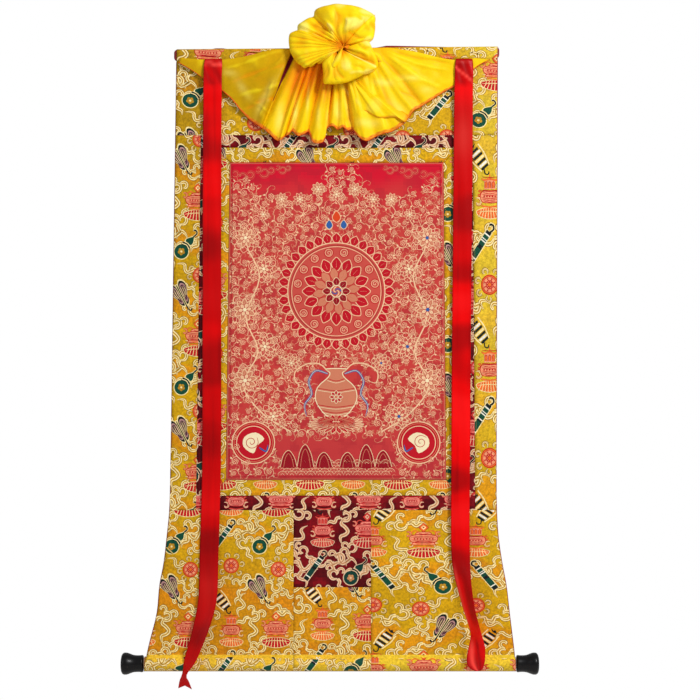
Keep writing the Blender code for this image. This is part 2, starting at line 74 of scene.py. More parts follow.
def addPiece(name, verts, faces, material, smooth=True, tints=None, closed=True):
    # verts in table millimetres; tints is one colour per face, or one per vertex
    verts = np.asarray(verts, float) * mm
    verts[:, 2] -= originDrop * mm
    mesh = bpy.data.meshes.new(name)
    mesh.from_pydata(verts.tolist(), [], faces)
    mesh.update()
    if tints is not None:
        layer = mesh.color_attributes.new("colourWithPaintedLight", "FLOAT_COLOR", "CORNER")
        if len(tints) == len(verts):
            colours = np.asarray(tints, float)[[i for f in faces for i in f]]
        else:
            colours = np.repeat(np.asarray(tints, float), [len(f) for f in faces], axis=0)
        layer.data.foreach_set("color", np.hstack([colours, np.ones((len(colours), 1))]).ravel())
    if closed:
        bm = bmesh.new()
        bm.from_mesh(mesh)
        bmesh.ops.recalc_face_normals(bm, faces=bm.faces)
        bm.to_mesh(mesh)
        bm.free()
    mesh.materials.append(material)
    mesh.polygons.foreach_set("use_smooth", [smooth] * len(mesh.polygons))
    piece = bpy.data.objects.new(name, mesh)
    bpy.context.scene.collection.objects.link(piece)
    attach(piece, "root")
    return piece


def gridFaces(rows, columns, start=0, flip=False):
    faces = []
    for i in range(rows - 1):
        for j in range(columns - 1):
            a = start + i * columns + j
            quad = (a, a + columns, a + columns + 1, a + 1)
            faces.append(quad[::-1] if flip else quad)
    return faces


def clothFaces(rows, columns):
    # closed thin body: front grid first, back grid second
    size = rows * columns
    faces = gridFaces(rows, columns) + gridFaces(rows, columns, size, True)
    for i in range(rows - 1):
        for j in (0, columns - 1):
            a, b = i * columns + j, (i + 1) * columns + j
            faces.append((a, b, b + size, a + size) if j else (b, a, a + size, b + size))
    for j in range(columns - 1):
        for i in (0, rows - 1):
            a, b = i * columns + j, i * columns + j + 1
            faces.append((a, b, b + size, a + size) if not i else (b, a, a + size, b + size))
    return faces


def newGroup(name, inputs, outputs):
    group = bpy.data.node_groups.new(name, "ShaderNodeTree")
    for label, kind, value in inputs:
        socket = group.interface.new_socket(label, in_out="INPUT", socket_type=kind)
        if value is not None:
            socket.default_value = value
    for label, kind in outputs:
        group.interface.new_socket(label, in_out="OUTPUT", socket_type=kind)
    return group, group.nodes.new("NodeGroupInput"), group.nodes.new("NodeGroupOutput")


def mathNode(tree, kind, a, b=None, c=None):
    node = tree.nodes.new("ShaderNodeMath")
    node.operation = kind
    for i, value in enumerate((a, b, c)):
        if value is None:
            continue
        if isinstance(value, (int, float)):
            node.inputs[i].default_value = value
        else:
            tree.links.new(value, node.inputs[i])
    return node.outputs[0]


def weaveGroup():
    # crossing threads: height, a mask of the gaps, and slow unevenness
    group, gin, gout = newGroup("threadWeave", [
        ("Threads Per Metre", "NodeSocketFloat", 900.0), ("Slub", "NodeSocketFloat", 0.4)],
        [("Height", "NodeSocketFloat"), ("Gaps", "NodeSocketFloat"), ("Uneven", "NodeSocketFloat"),
         ("Mottle", "NodeSocketFloat")])
    coords = group.nodes.new("ShaderNodeTexCoord")
    split = group.nodes.new("ShaderNodeSeparateXYZ")
    group.links.new(coords.outputs["Object"], split.inputs[0])
    waves = []
    for axis in (0, 2):
        place = mathNode(group, "MULTIPLY", split.outputs[axis], gin.outputs["Threads Per Metre"])
        waves.append(mathNode(group, "SINE", mathNode(group, "MULTIPLY", place, fullTurn)))
    height = mathNode(group, "MULTIPLY", waves[0], waves[1])
    slub = group.nodes.new("ShaderNodeTexNoise")
    slub.inputs["Scale"].default_value = 70.0
    slub.inputs["Detail"].default_value = 3.0
    group.links.new(coords.outputs["Object"], slub.inputs["Vector"])
    wide = group.nodes.new("ShaderNodeTexNoise")
    wide.inputs["Scale"].default_value = 9.0
    group.links.new(coords.outputs["Object"], wide.inputs["Vector"])
    slubHeight = mathNode(group, "MULTIPLY", slub.outputs[0], gin.outputs["Slub"])
    group.links.new(mathNode(group, "MULTIPLY_ADD", height, 0.5, slubHeight), gout.inputs["Height"])
    gaps = mathNode(group, "MULTIPLY_ADD", height, -0.5, 0.5)
    group.links.new(gaps, gout.inputs["Gaps"])
    group.links.new(wide.outputs[0], gout.inputs["Uneven"])
    flecks = group.nodes.new("ShaderNodeTexNoise")
    flecks.inputs["Scale"].default_value = 210.0
    flecks.inputs["Detail"].default_value = 3.0
    flecks.inputs["Roughness"].default_value = 0.6
    group.links.new(coords.outputs["Object"], flecks.inputs["Vector"])
    group.links.new(flecks.outputs[0], gout.inputs["Mottle"])
    return group


weave = weaveGroup()


def clothMaterial(name, colour=None, look=None):
    # colour None reads the colour laid on the mesh: the dye, and on the brocade ground, veil and ribbons also painted
    # highlights and painted shade
    look = {"rough": 0.55, "sheen": 0.15, "threads": 900.0, "slub": 0.4, "bump": 0.25, "shade": 0.14,
            "uneven": 0.12, "mottle": 0.0, "aniso": 0.0, "specular": 0.12, **(look or {})}
    made = bpy.data.materials.new(name)
    made.use_nodes = True
    tree = made.node_tree
    shader = tree.nodes["Principled BSDF"]
    group = tree.nodes.new("ShaderNodeGroup")
    group.node_tree = weave
    group.inputs["Threads Per Metre"].default_value = look["threads"]
    group.inputs["Slub"].default_value = look["slub"]
    darken = mathNode(tree, "MULTIPLY_ADD", group.outputs["Gaps"], -look["shade"], 1.0 + look["shade"] * 0.4)
    patchy = mathNode(tree, "MULTIPLY_ADD", group.outputs["Uneven"], look["uneven"] * 2, 1.0 - look["uneven"])
    fleck = mathNode(tree, "MULTIPLY_ADD", group.outputs["Mottle"], look["mottle"] * 4, 1.0 - look["mottle"] * 2)
    factor = mathNode(tree, "MULTIPLY", mathNode(tree, "MULTIPLY", darken, patchy), fleck)
    mix = tree.nodes.new("ShaderNodeVectorMath")
    mix.operation = "SCALE"
    if colour is None:
        colourWithPaintedLight = tree.nodes.new("ShaderNodeAttribute")
        colourWithPaintedLight.attribute_name = "colourWithPaintedLight"
        tree.links.new(colourWithPaintedLight.outputs["Color"], mix.inputs[0])
    else:
        mix.inputs[0].default_value = colour
    tree.links.new(factor, mix.inputs["Scale"])
    tree.links.new(mix.outputs[0], shader.inputs["Base Color"])
    rough = mathNode(tree, "MULTIPLY_ADD", group.outputs["Uneven"], 0.16, look["rough"] - 0.08)
    tree.links.new(rough, shader.inputs["Roughness"])
    bump = tree.nodes.new("ShaderNodeBump")
    bump.inputs["Strength"].default_value = look["bump"]
    bump.inputs["Distance"].default_value = 0.0006
    tree.links.new(group.outputs["Height"], bump.inputs["Height"])
    tree.links.new(bump.outputs[0], shader.inputs["Normal"])
    shader.inputs["Sheen Weight"].default_value = look["sheen"]
    shader.inputs["Sheen Roughness"].default_value = 0.4
    shader.inputs["Anisotropic"].default_value = look["aniso"]
    shader.inputs["Specular IOR Level"].default_value = look["specular"]
    return made


mount = {
    "cloth": 1.2, "cell": 6.5, "gap": 0.3, "slope": 0.0087,
    # outer edges: z, left x, right x
    "edges": [
        (12, -330.0, 330.0), (-167.4, -332.5, 329.4), (-400, -336.0, 328.6), (-700, -340.0, 327.8),
        (-857.6, -342.4, 327.2), (-939.9, -344.6, 328.0), (-995, -350.0, 331.5), (-1051, -356.8, 339.5),
        (-1094.4, -365.0, 347.5), (-1152, -370.5, 354.0), (-1210, -385.0, 361.5), (-1238.6, -391.5, 364.8),
        (-1275, -397.5, 367.8)],
    # upright seams: x at the top border, x at the bottom border
    "seams": {
        "strip_left": (-280.6, -290.9), "red_left": (-250.7, -258.9), "inner_left": (-220.8, -230.1),
        "inner_right": (218.8, 225.2), "red_right": (248.8, 255.0), "strip_right": (278.7, 284.9)},
    # level seams
    "border": -167.4, "redTop": -193.1, "head": -223.6, "foot": -878.2, "innerLow": -910.1, "low": -939.9,
    "doorLeft": -89.8, "doorRight": 69.7, "doorFoot": -1099.3,
    "sleeveTop": -1238.6, "rollerZ": -1256.6, "sleeve": 14.8,
}


def edgeLeft(z):
    return curveThrough(mount["edges"], 1, z)


def edgeRight(z):
    return curveThrough(mount["edges"], 2, z)


def seamX(name, z):
    top, bottom = mount["seams"][name]
    return top + (bottom - top) * (np.asarray(z, float) - mount["border"]) / (mount["low"] - mount["border"])


def hangY(x, z):
    x, z = np.asarray(x, float), np.asarray(z, float)
    sleeveTop = mount["sleeveTop"]
    y = 1.9 * np.sin(x / 96.0 + 0.6) + 1.3 * np.sin(x / 61.0 - z / 260.0)
    low = ease(-900, -1090, z) * ease(sleeveTop, -1175, z)
    y = y + low * 3.0 * np.sin(x / 74.0 + z / 190.0 + 1.0)
    side = ease(230, 345, x) + ease(-250, -360, x)
    y = y - low * side * 2.4 * np.sin((z + 0.5 * np.abs(x)) / 40.0 + 0.8)
    return ease(-20, -260, z) * ease(sleeveTop, -1150, z) * y


def lift(x, z):
    return z + mount["slope"] * x * ease(-150, -14, z)


def arc(radius, start, end, steps, side):
    turn = np.radians(np.linspace(start, end, steps + 1))
    return [(side * radius * math.sin(a), mount["rollerZ"] + radius * math.cos(a)) for a in turn]


overStave = [(-0.2, 11.3), (-2.2, 11.3), (-3.5, 11.0), (-4.4, 10.3), (-4.8, 9.2), (-4.8, 4.5), (-4.8, 0),
             (-4.8, -4.5),
             (-4.8, -9.2), (-4.5, -10.4), (-3.4, -12.2), (-1.6, -15.2), (-0.5, -16.9)]


def sectionNormals(y, z):
    # arrays of section points (rows, columns) to outward offsets that keep the thickness
    dy, dz = np.diff(y, axis=0), np.diff(z, axis=0)
    size = np.hypot(dy, dz)
    ny, nz = dz / size, -dy / size
    ny = np.vstack([ny[:1], (ny[1:] + ny[:-1]) / 2, ny[-1:]])
    nz = np.vstack([nz[:1], (nz[1:] + nz[:-1]) / 2, nz[-1:]])
    size = ny * ny + nz * nz
    return ny / size, nz / size


def frontY(x, z):
    # face of the cloth as seen from the front, for what is woven or sewn on it
    x, z = np.asarray(x, float), np.asarray(z, float)
    top = np.array(overStave + [(0.0, wrapEnd)])
    y = np.where(z > wrapEnd, np.interp(z, top[::-1, 1], top[::-1, 0]), hangY(x, z)) - mount["cloth"]
    radius, centre = mount["sleeve"] + mount["cloth"], mount["rollerZ"]
    tangent = centre + radius * math.cos(math.radians(45))
    round_ = -np.sqrt(np.maximum(radius**2 - (z - centre) ** 2, 0.0))
    straight = np.interp(z, [tangent, mount["sleeveTop"]], [-radius * math.sin(math.radians(45)), -mount["cloth"]])
    return np.where(z < tangent, round_, np.where(z < mount["sleeveTop"], straight, y))


def panelBody(left, right, top, bottom, before=(), after=(), cell=None):
    cell = cell or mount["cell"]
    zs = [float(top(0.5)), float(bottom(0.5))]
    width = float(np.max(right(np.array(zs)) - left(np.array(zs))))
    columns = max(2, int(width / cell)) + 1
    rows = max(3, int(abs(zs[0] - zs[1]) / cell)) + 1
    s = np.linspace(0, 1, columns)[None, :]
    t = np.linspace(0, 1, rows)[:, None]
    z = top(s) + (bottom(s) - top(s)) * t
    before, after = [np.array(p, float).reshape(-1, 2) for p in (before, after)]
    z = np.vstack([np.repeat(before[:, 1:], columns, 1), z, np.repeat(after[:, 1:], columns, 1)])
    x = left(z) + (right(z) - left(z)) * s
    y = hangY(x, z)
    if len(before):
        y[:len(before)] = before[:, :1]
    if len(after):
        y[-len(after):] = after[:, :1]
    ny, nz = sectionNormals(y, z)
    back = np.stack([x, y, lift(x, z)], -1)
    front = np.stack([x, y + ny * mount["cloth"], lift(x, z) + nz * mount["cloth"]], -1)
    return front, back, x, z


print("helpers ready")


threadNames = ["cream", "brown", "ochre", "orange", "red", "green", "dark", "white", "plum", "pink", "gold", "blue",
               "rose",
               "goldLine", "goldDim", "crimson", "deepRed", "rosy", "azure", "jade"]
threadOf = {name: i for i, name in enumerate(threadNames)}


def smoothLine(points, closed=False, steps=4):
    p = np.array(points, float)
    if len(p) < 3:
        return p
    count = len(p) if closed else len(p) - 1
    out = []
    for i in range(count):
        a = p[(i - 1) % len(p)] if closed or i else 2 * p[0] - p[1]
        b, c = p[i], p[(i + 1) % len(p)]
        d = p[(i + 2) % len(p)] if closed or i + 2 < len(p) else 2 * p[-1] - p[-2]
        for k in range(steps):
            t = k / steps
            out.append(0.5 * (2 * b + (c - a) * t + (2 * a - 5 * b + 4 * c - d) * t**2
                              + (3 * b - a - 3 * c + d) * t**3))
    if not closed:
        out.append(p[-1])
    return np.array(out)


def newDrawing():
    return {"verts": [], "faces": [], "thread": []}


def pen(drawing, x=0.0, y=0.0, turn=0.0, size=1.0, flip=1):
    c, s = math.cos(math.radians(turn)) * size, math.sin(math.radians(turn)) * size

    def put(points, level):
        q = np.array(points, float)
        q[:, 0] *= flip
        start = len(drawing["verts"])
        drawing["verts"] += [(x + px * c - py * s, y + px * s + py * c, level) for px, py in q]
        return start

    def fill(points, thread, level, steps=4):
        line = smoothLine(points, True, steps) if steps else np.array(points, float)
        start = put(line, level)
        for tri in tessellate_polygon([[Vector((px, py, 0)) for px, py in line]]):
            drawing["faces"].append(tuple(start + i for i in tri))
            drawing["thread"].append(threadOf[thread])

    def stroke(points, width, thread, level, ends=(1.0, 1.0), closed=False, steps=4):
        line = smoothLine(points, closed, steps)
        if closed:
            along = np.roll(line, -1, 0) - np.roll(line, 1, 0)
        else:
            along = np.gradient(line, axis=0)
        along /= np.maximum(np.linalg.norm(along, axis=1, keepdims=True), 1e-9)
        side = np.stack([-along[:, 1], along[:, 0]], 1)
        share = np.linspace(0, 1, len(line))
        wide = width / 2 * np.minimum(1, np.minimum(ends[0] + share * 3.5, ends[1] + (1 - share) * 3.5))[:, None]
        if closed:
            wide[:] = width / 2
        start = put(np.vstack([line + side * wide, line - side * wide]), level)
        n = len(line)
        for i in range(n if closed else n - 1):
            j = (i + 1) % n
            drawing["faces"] += [(start + i, start + n + i, start + n + j), (start + i, start + n + j, start + j)]
            drawing["thread"] += [threadOf[thread]] * 2

    return fill, stroke


def drawingMesh(drawing, name):
    mesh = bpy.data.meshes.new(name)
    verts, faces = np.array(drawing["verts"], float), np.array(drawing["faces"])
    a, b, c = (verts[faces[:, k], :2] for k in range(3))
    turned = (b[:, 0] - a[:, 0]) * (c[:, 1] - a[:, 1]) < (b[:, 1] - a[:, 1]) * (c[:, 0] - a[:, 0])
    faces[turned] = faces[turned][:, ::-1]  # all face the same way
    mesh.from_pydata(verts.tolist(), [], faces.tolist())
    mesh.attributes.new("thread", "INT", "FACE").data.foreach_set("value", drawing["thread"])
    return mesh


def meshArrays(mesh):
    # points, triangles and the thread of each triangle
    verts, faces = np.empty(len(mesh.vertices) * 3), np.empty(len(mesh.polygons) * 3, int)
    threads = np.empty(len(mesh.polygons), int)
    mesh.vertices.foreach_get("co", verts)
    mesh.polygons.foreach_get("vertices", faces)
    mesh.attributes["thread"].data.foreach_get("value", threads)
    return verts.reshape(-1, 3), faces.reshape(-1, 3), threads


def ring(radius, count=8, x=0.0, y=0.0, flat=1.0, start=0.0):
    return [(x + radius * math.cos(start + 2 * math.pi * k / count),
             y + radius * flat * math.sin(start + 2 * math.pi * k / count)) for k in range(count)]


def curlPoints(radius, start, sweep, shrink=0.5, count=7, x=0.0, y=0.0):
    out = []
    for k in range(count):
        t = k / (count - 1)
        a, r = math.radians(start + sweep * t), radius * (1 - shrink * t)
        out.append((x + r * math.cos(a), y + r * math.sin(a)))
    return out


def cloudLine(stroke, points, width, ends=(0.35, 0.35), line="brown", body="cream", level=0):
    stroke(points, width + 2.1, line, level, ends)
    stroke(points, width, body, level + 1, ends)
    stroke(points, width * 0.32, "ochre", level + 2, (0.0, 0.0))


def cloudHead(drawing, x, y, turn, size, flip=1):
    fill, stroke = pen(drawing, x, y, turn, size, flip)
    for lobeX, lobeY, r, start, sweep in ((0, 0, 13.0, -150, 330), (16.0, 7.5, 9.6, 200, -290),
                                          (-12.5, 12.5, 8.8, -60, 290)):
        cloudLine(stroke, curlPoints(r, start, sweep, 0.56, 8, lobeX, lobeY), 7.2 * min(1, r / 10.5))
    cloudLine(stroke, [(-12, -7), (-19, -11), (-21, -21), (-32, -22), (-38, -32)], 7.6, (1.0, 0.0))


def cloudTail(drawing, x, y, turn, size, flip=1):
    fill, stroke = pen(drawing, x, y, turn, size, flip)
    cloudLine(stroke, [(-29, -3), (-19, 4), (-10, 5), (-4, -4), (4, -8), (12, 0), (18, 9), (29, 5), (36, -4)], 7.8,
              (0.1, 0.1))


def gourd(drawing, x, y, flip=1):
    fill, stroke = pen(drawing, x, y, -40 * flip, 1.0, flip)
    fill(ring(16.2, 10), "cream", 3)
    fill(ring(14.4, 10), "green", 4)
    for k in range(5):
        a = math.radians(72 * k + 18)
        fill(ring(3.2, 6, 4.4 * math.cos(a), 4.4 * math.sin(a)), "ochre", 5, 2)
    fill(ring(2.2, 6), "cream", 6, 2)
    fill([(-9.5, 11), (-8.5, 18), (0, 20), (8.5, 18), (9.5, 11), (0, 14)], "dark", 5)
    stroke([(-10, 13), (0, 16.4), (10, 13)], 1.7, "cream", 6)
    stroke([(-9, 19), (0, 21), (9, 19)], 1.8, "cream", 6)
    fill([(-9.5, 24), (-6.5, 31), (-2, 38), (0, 45), (2.4, 45), (3.6, 38), (8, 31), (9.5, 24), (6.5, 19), (0, 18),
          (-6.5, 19)], "cream", 3)
    fill([(-7.8, 25), (-5.2, 31), (-1, 37), (0.5, 44), (2, 44), (2.8, 37), (6.4, 31), (7.8, 25), (5.4, 21), (0, 20),
          (-5.4, 21)], "green", 4)
    stroke([(1, 41), (2, 47), (-1, 51), (-5.5, 51), (-8, 47.5)], 4.6, "cream", 3, (1, 0.6))
    stroke([(1, 40), (2, 47), (-1, 50.6), (-5.5, 50.6), (-7, 48)], 2.8, "dark", 5, (1, 0.8))


def greenCylinder(drawing, x, y, flip=1):
    fill, stroke = pen(drawing, x, y, -36 * flip, 1.0, flip)
    stroke([(0, -34), (0, 27)], 13.2, "cream", 3, steps=1)
    stroke([(0, -33), (0, 26)], 10.4, "green", 4, steps=1)
    for y0, y1, thread in ((-33, -26, "dark"), (-6, 0, "dark"), (21, 26, "dark"), (6.5, 8.5, "white"),
                           (-2.8, -1, "white"),
                           (-25, -22.8, "white"), (18.4, 20.6, "white"), (10.5, 12, "white")):
        stroke([(0, y0), (0, y1)], 10.4, thread, 5, steps=1)
    stroke([(2, 27), (4.5, 33), (0.5, 38), (-5, 36.5), (-5, 32)], 5.4, "cream", 3, (1, 0.5))
    stroke([(2, 26), (4.5, 33), (0.5, 37.5), (-4.6, 36), (-4.6, 33)], 3.2, "dark", 5, (1, 0.5))


def medallion(drawing, x, y, flip=1, halo=8):
    fill, stroke = pen(drawing, x, y, 0, 1.0, flip)
    for k in range(halo):
        a = 360 / halo * k + 10
        px, py = 22.0 * math.cos(math.radians(a)), 22.0 * math.sin(math.radians(a))
        cloudLine(stroke, curlPoints(5.6, a - 150, 300, 0.45, 6, px, py), 2.6)
    fill(ring(15.8, 10), "red", 3)
    fill(ring(14.2, 10), "orange", 4)
    fill(ring(12.0, 8), "pink", 5)
    stroke(ring(12.4, 8), 0.9, "red", 6, closed=True, steps=3)
    for k in range(4):
        a = math.radians(45 * k)
        side, run = np.array([-math.sin(a), math.cos(a)]), np.array([math.cos(a), math.sin(a)])
        for shift in (-3.2, 3.2):
            stroke([tuple(run * end * 10.6 + side * shift) for end in (-1, 0, 1)], 1.1, "red", 6, steps=1)
    stroke(ring(6.4, 8), 1.2, "red", 7, closed=True, steps=3)
    fill(ring(3.0, 6), "orange", 8, 2)


def pairedPods(drawing, x, y, flip=1):
    fill, stroke = pen(drawing, x, y, 28 * flip, 1.0, flip)
    for side in (-1, 1):
        lobe = [(side * 2.2, -20), (side * 1.8, -2), (side * 2.6, 18), (side * 8, 27), (side * 15, 24),
                (side * 18, 15),
                (side * 15, 4), (side * 10.5, -5), (side * 10.5, -13), (side * 6.5, -20)]
        centre = np.mean(lobe, axis=0)
        fill(centre + (np.array(lobe) - centre) * 1.14, "cream", 3)
        fill(lobe, "dark", 4)
        fill(centre + (np.array(lobe) - centre) * 0.8, "rose", 5)
        fill(centre + (np.array(lobe) - centre) * 0.66, "plum", 6)
        for k in range(3):
            px = side * (5.0 + 3.6 * k)
            stroke([(px * 0.7, -10 + 3 * k), (px, 4), (px * 1.05, 18 - k)], 0.9, "cream", 7, (0.2, 0.2))
    stroke([(0, 24), (0, -24)], 4.4, "cream", 6, steps=1)
    stroke([(0, 22), (0, -26), (1, -33), (5, -36), (7, -32)], 2.2, "dark", 7, (1, 0.6))


def stripedShell(drawing, x, y, flip=1):
    fill, stroke = pen(drawing, x, y, 38 * flip, 1.0, flip)
    for k, thread in enumerate(("dark", "white", "dark", "cream", "dark", "white", "dark")):
        half = 10.5 - abs(k - 2.6) * 0.9
        fill([(-half, 15 - 5.2 * k), (half, 15 - 5.2 * k), (half * 0.93, 11 - 5.2 * k), (-half * 0.93, 11 - 5.2 * k)],
             thread, 4 + k % 2, 0)
    stroke([(-12, 18), (-13, 0), (-9, -20)], 2.2, "cream", 3)
    stroke([(12, 18), (12.5, 0), (8.5, -20)], 2.2, "cream", 3)
    stroke([(-3, -20), (-6, -27), (-2, -31), (2, -28)], 2.0, "dark", 5, (1, 0.5))
    fill(ring(2.6, 6, 0, 21), "dark", 5, 2)
    stroke([(-8, 22), (0, 19), (8, 22)], 2.0, "dark", 5, (0.2, 0.2))


def lotusBase(drawing, x, y, size=1.0, petals="red"):
    fill, stroke = pen(drawing, x, y, 0, size)
    rim = [(-31, 3), (-24, 7), (-12, 10), (0, 10.6), (12, 10), (24, 7), (31, 3), (27, -5), (15, -10.5), (0, -12.5),
           (-15, -10.5), (-27, -5)]
    fill(rim, "cream", 3)
    fill([(px * 0.95, py * 0.9) for px, py in rim], petals, 4)
    for k in range(-4, 4):
        px = 6.8 * (k + 0.5)
        stroke([(px * 0.8, 2.6), (px * 1.06, -12.2 + 0.45 * abs(k + 0.5) ** 1.7)], 1.25, "cream", 5, steps=1)
        stroke([(px * 0.86, 3.0), (px * 0.78, 9.6 - 0.4 * abs(k + 0.5) ** 1.7)], 1.1, "cream", 5, steps=1)
    stroke([(-28, 1.0), (-14, 2.8), (0, 3.4), (14, 2.8), (28, 1.0)], 1.2, "cream", 6, (0.3, 0.3))


def jewelVase(drawing, x, y):
    # wide vase in tiers under a jewel, with scrolls at both sides
    fill, stroke = pen(drawing, x, y)
    tiers = [((-15, 9.5), (-24, 5), (-24, -2), (-16, -7), (16, -7), (24, -2), (24, 5), (15, 9.5)),
             ((-14, -6), (-18, -12), (18, -12), (14, -6)),
             ((-9, 15), (-13, 10), (13, 10), (9, 15))]
    for tier in tiers:
        fill(tier, "pink", 3)
        stroke(tier, 1.3, "red", 4, closed=True)
    for h, w in ((7.4, 20), (4.6, 22), (-0.6, 22), (-3.2, 20), (-8.2, 15), (-10.4, 14), (12.6, 9)):
        stroke([(-w, h), (0, h - 2.0), (w, h)], 1.15, "orange" if h < -5 else "red", 5, (0.5, 0.5))
    for px in (-16, -10.7, -5.3, 0, 5.3, 10.7, 16):
        fill(ring(1.7, 6, px, 1.2 - (16 - abs(px)) * 0.08), "red", 6, 0)
    for side in (-1, 1):
        stroke([(side * 8, 15), (side * 15, 18), (side * 21, 15), (side * 20, 11)], 2.0, "orange", 4, (1, 0.4))
        cloudLine(stroke, curlPoints(6.0, 90 - side * 30, side * 280, 0.6, 7, side * 27, 10), 2.6, line="red",
                  body="pink")
        cloudLine(stroke, curlPoints(5.5, 90 - side * 30, side * 280, 0.6, 7, side * 23, -13), 2.4, line="red",
                  body="cream")
    fill([(0, 34), (8.5, 25), (0, 15), (-8.5, 25)], "orange", 3, 0)
    stroke([(0, 34), (8.5, 25), (0, 15), (-8.5, 25)], 1.5, "red", 4, closed=True, steps=1)
    fill([(0, 29.5), (4.4, 25), (0, 20), (-4.4, 25)], "cream", 5, 0)
    fill(ring(1.8, 6, 0, 25), "red", 6, 2)
    stroke([(-17, -15), (0, -17), (17, -15)], 2.6, "orange", 4, (0.6, 0.6))


def shrine(drawing, x, y):
    # small windowed house on scrolls
    fill, stroke = pen(drawing, x, y)
    fill([(-10, 11), (-10, 25), (10, 25), (10, 11)], "pink", 3, 0)
    for px in (-6.5, 0, 6.5):
        fill([(px - 2.1, 13), (px - 2.1, 21), (px, 23), (px + 2.1, 21), (px + 2.1, 13)], "orange", 5, 0)
        stroke([(px - 2.1, 13), (px - 2.1, 21), (px, 23), (px + 2.1, 21), (px + 2.1, 13)], 1.0, "red", 6, steps=1)
    stroke([(-15, 28), (-10, 25), (0, 27), (10, 25), (15, 28)], 2.8, "orange", 4, (0.4, 0.4))
    stroke([(-13, 30), (0, 29), (13, 30)], 1.1, "red", 5, (0.4, 0.4))
    stroke([(0, 29), (0, 35)], 3.0, "orange", 3, (1, 0.3), steps=1)
    stroke([(-14, 9), (0, 8), (14, 9)], 2.6, "red", 4, (0.4, 0.4))
    body = [(-10, 8), (10, 8), (16.5, 3), (16, -5), (10, -10), (-10, -10), (-16, -5), (-16.5, 3)]
    fill(body, "pink", 3)
    stroke(body, 1.2, "red", 4, closed=True)
    for h, w in ((5.4, 12), (2.8, 14), (-2.2, 15), (-4.8, 13), (-7.4, 11)):
        stroke([(-w, h), (0, h - 1.8), (w, h)], 1.1, "red", 5, (0.4, 0.4))
    for px in (-10, -5, 0, 5, 10):
        fill(ring(1.6, 6, px, -0.4), "red", 6, 0)
    for side in (-1, 1):
        cloudLine(stroke, curlPoints(7.0, 90 - side * 30, side * 290, 0.6, 8, side * 21, -9), 2.8, line="red",
                  body="cream")
        cloudLine(stroke, curlPoints(4.6, 90 - side * 30, side * 290, 0.6, 7, side * 19, 4), 2.2, line="red",
                  body="orange")
    stroke([(-15, -15), (0, -17), (15, -15)], 2.6, "orange", 4, (0.6, 0.6))


brocade = {
    "tileWidth": 181.0, "tileHeight": 270.0, "lift": 0.12, "step": 0.07, "spread": 61.0,
    # clouds that fill the ground: x, y, turn, size, mirrored, head or tail
    "clouds": [
        (-24, 42, 20, 0.95, 1, 1), (-34, 8, -25, 0.9, -1, 1), (44, 22, 10, 0.9, 1, 0), (52, -2, 60, 0.8, -1, 1),
        (12, -34, -30, 0.8, 1, 0),
        (70, -58, 15, 0.95, -1, 1), (36, -84, -70, 0.85, 1, 1), (-34, -78, 30, 0.9, 1, 1), (62, -98, -20, 0.8, 1, 0),
        (-38, -122, 75, 0.8, 1, 0), (24, -116, 10, 0.85, -1, 1), (75, -138, -40, 0.95, 1, 1),
        (-10, -142, -15, 0.9, 1, 1),
        (-14, -176, 80, 0.95, 1, 0), (78, -182, 60, 0.85, -1, 0), (2, -206, 35, 0.85, 1, 1),
        (-18, -232, -20, 0.95, 1, 0),
        (48, -232, 15, 1.0, 1, 1), (82, -214, 100, 0.8, 1, 1), (88, -246, -10, 0.9, -1, 0),
        (-62, -236, 30, 0.9, -1, 1),
        (78, 6, -70, 0.8, 1, 0), (96, -76, 20, 0.8, 1, 0), (14, -258, 5, 0.8, -1, 0)],
}


def brocadeTile():
    tile = newDrawing()
    for x, y, turn, size, flip, head in brocade["clouds"]:
        (cloudHead if head else cloudTail)(tile, x, y, turn, size, flip)
    medallion(tile, 39, -47)
    medallion(tile, -58, -39, halo=7)
    lotusBase(tile, 34, -197, 0.98)
    lotusBase(tile, -58, -197, 0.8, "orange")
    jewelVase(tile, 34, -169)
    shrine(tile, -58, -171)
    pairedPods(tile, 0, -87)
    stripedShell(tile, -78, -111)
    greenCylinder(tile, -74, 23)
    gourd(tile, 0, 0)
    return drawingMesh(tile, "brocadeTile")


def newTree(name, inputs):
    # geometry nodes that copy a piece onto points, make the copies real and give them their material
    tree = bpy.data.node_groups.new(name, "GeometryNodeTree")
    for label, kind in [("Geometry", "Geometry"), *inputs, ("Material", "Material")]:
        tree.interface.new_socket(label, in_out="INPUT", socket_type="NodeSocket" + kind)
    tree.interface.new_socket("Geometry", in_out="OUTPUT", socket_type="NodeSocketGeometry")
    gin, gout = tree.nodes.new("NodeGroupInput"), tree.nodes.new("NodeGroupOutput")
    place, real, paint = (tree.nodes.new("GeometryNode" + kind) for kind in (
        "InstanceOnPoints", "RealizeInstances", "SetMaterial"))
    tree.links.new(place.outputs[0], real.inputs[0])
    tree.links.new(real.outputs[0], paint.inputs["Geometry"])
    tree.links.new(gin.outputs["Material"], paint.inputs["Material"])
    tree.links.new(paint.outputs[0], gout.inputs[0])
    return tree, gin.outputs, place


def repeatTree():
    # one woven repeat set out in rows and columns
    tree, given, place = newTree("repeatAcross", [("Columns", "Int"), ("Rows", "Int"), ("Pitch X", "Float"),
                                                  ("Pitch Y", "Float")])
    grid = tree.nodes.new("GeometryNodeMeshGrid")
    for axis, count in (("X", given["Columns"]), ("Y", given["Rows"])):
        size = mathNode(tree, "MULTIPLY", mathNode(tree, "SUBTRACT", count, 1.0), given["Pitch " + axis])
        tree.links.new(size, grid.inputs["Size " + axis])
        tree.links.new(count, grid.inputs["Vertices " + axis])
    tree.links.new(grid.outputs["Mesh"], place.inputs["Points"])
    tree.links.new(given["Geometry"], place.inputs["Instance"])
    return tree


tileMesh = brocadeTile()
repeatAcross = repeatTree()
print("brocade repeat has", len(tileMesh.polygons), "faces")


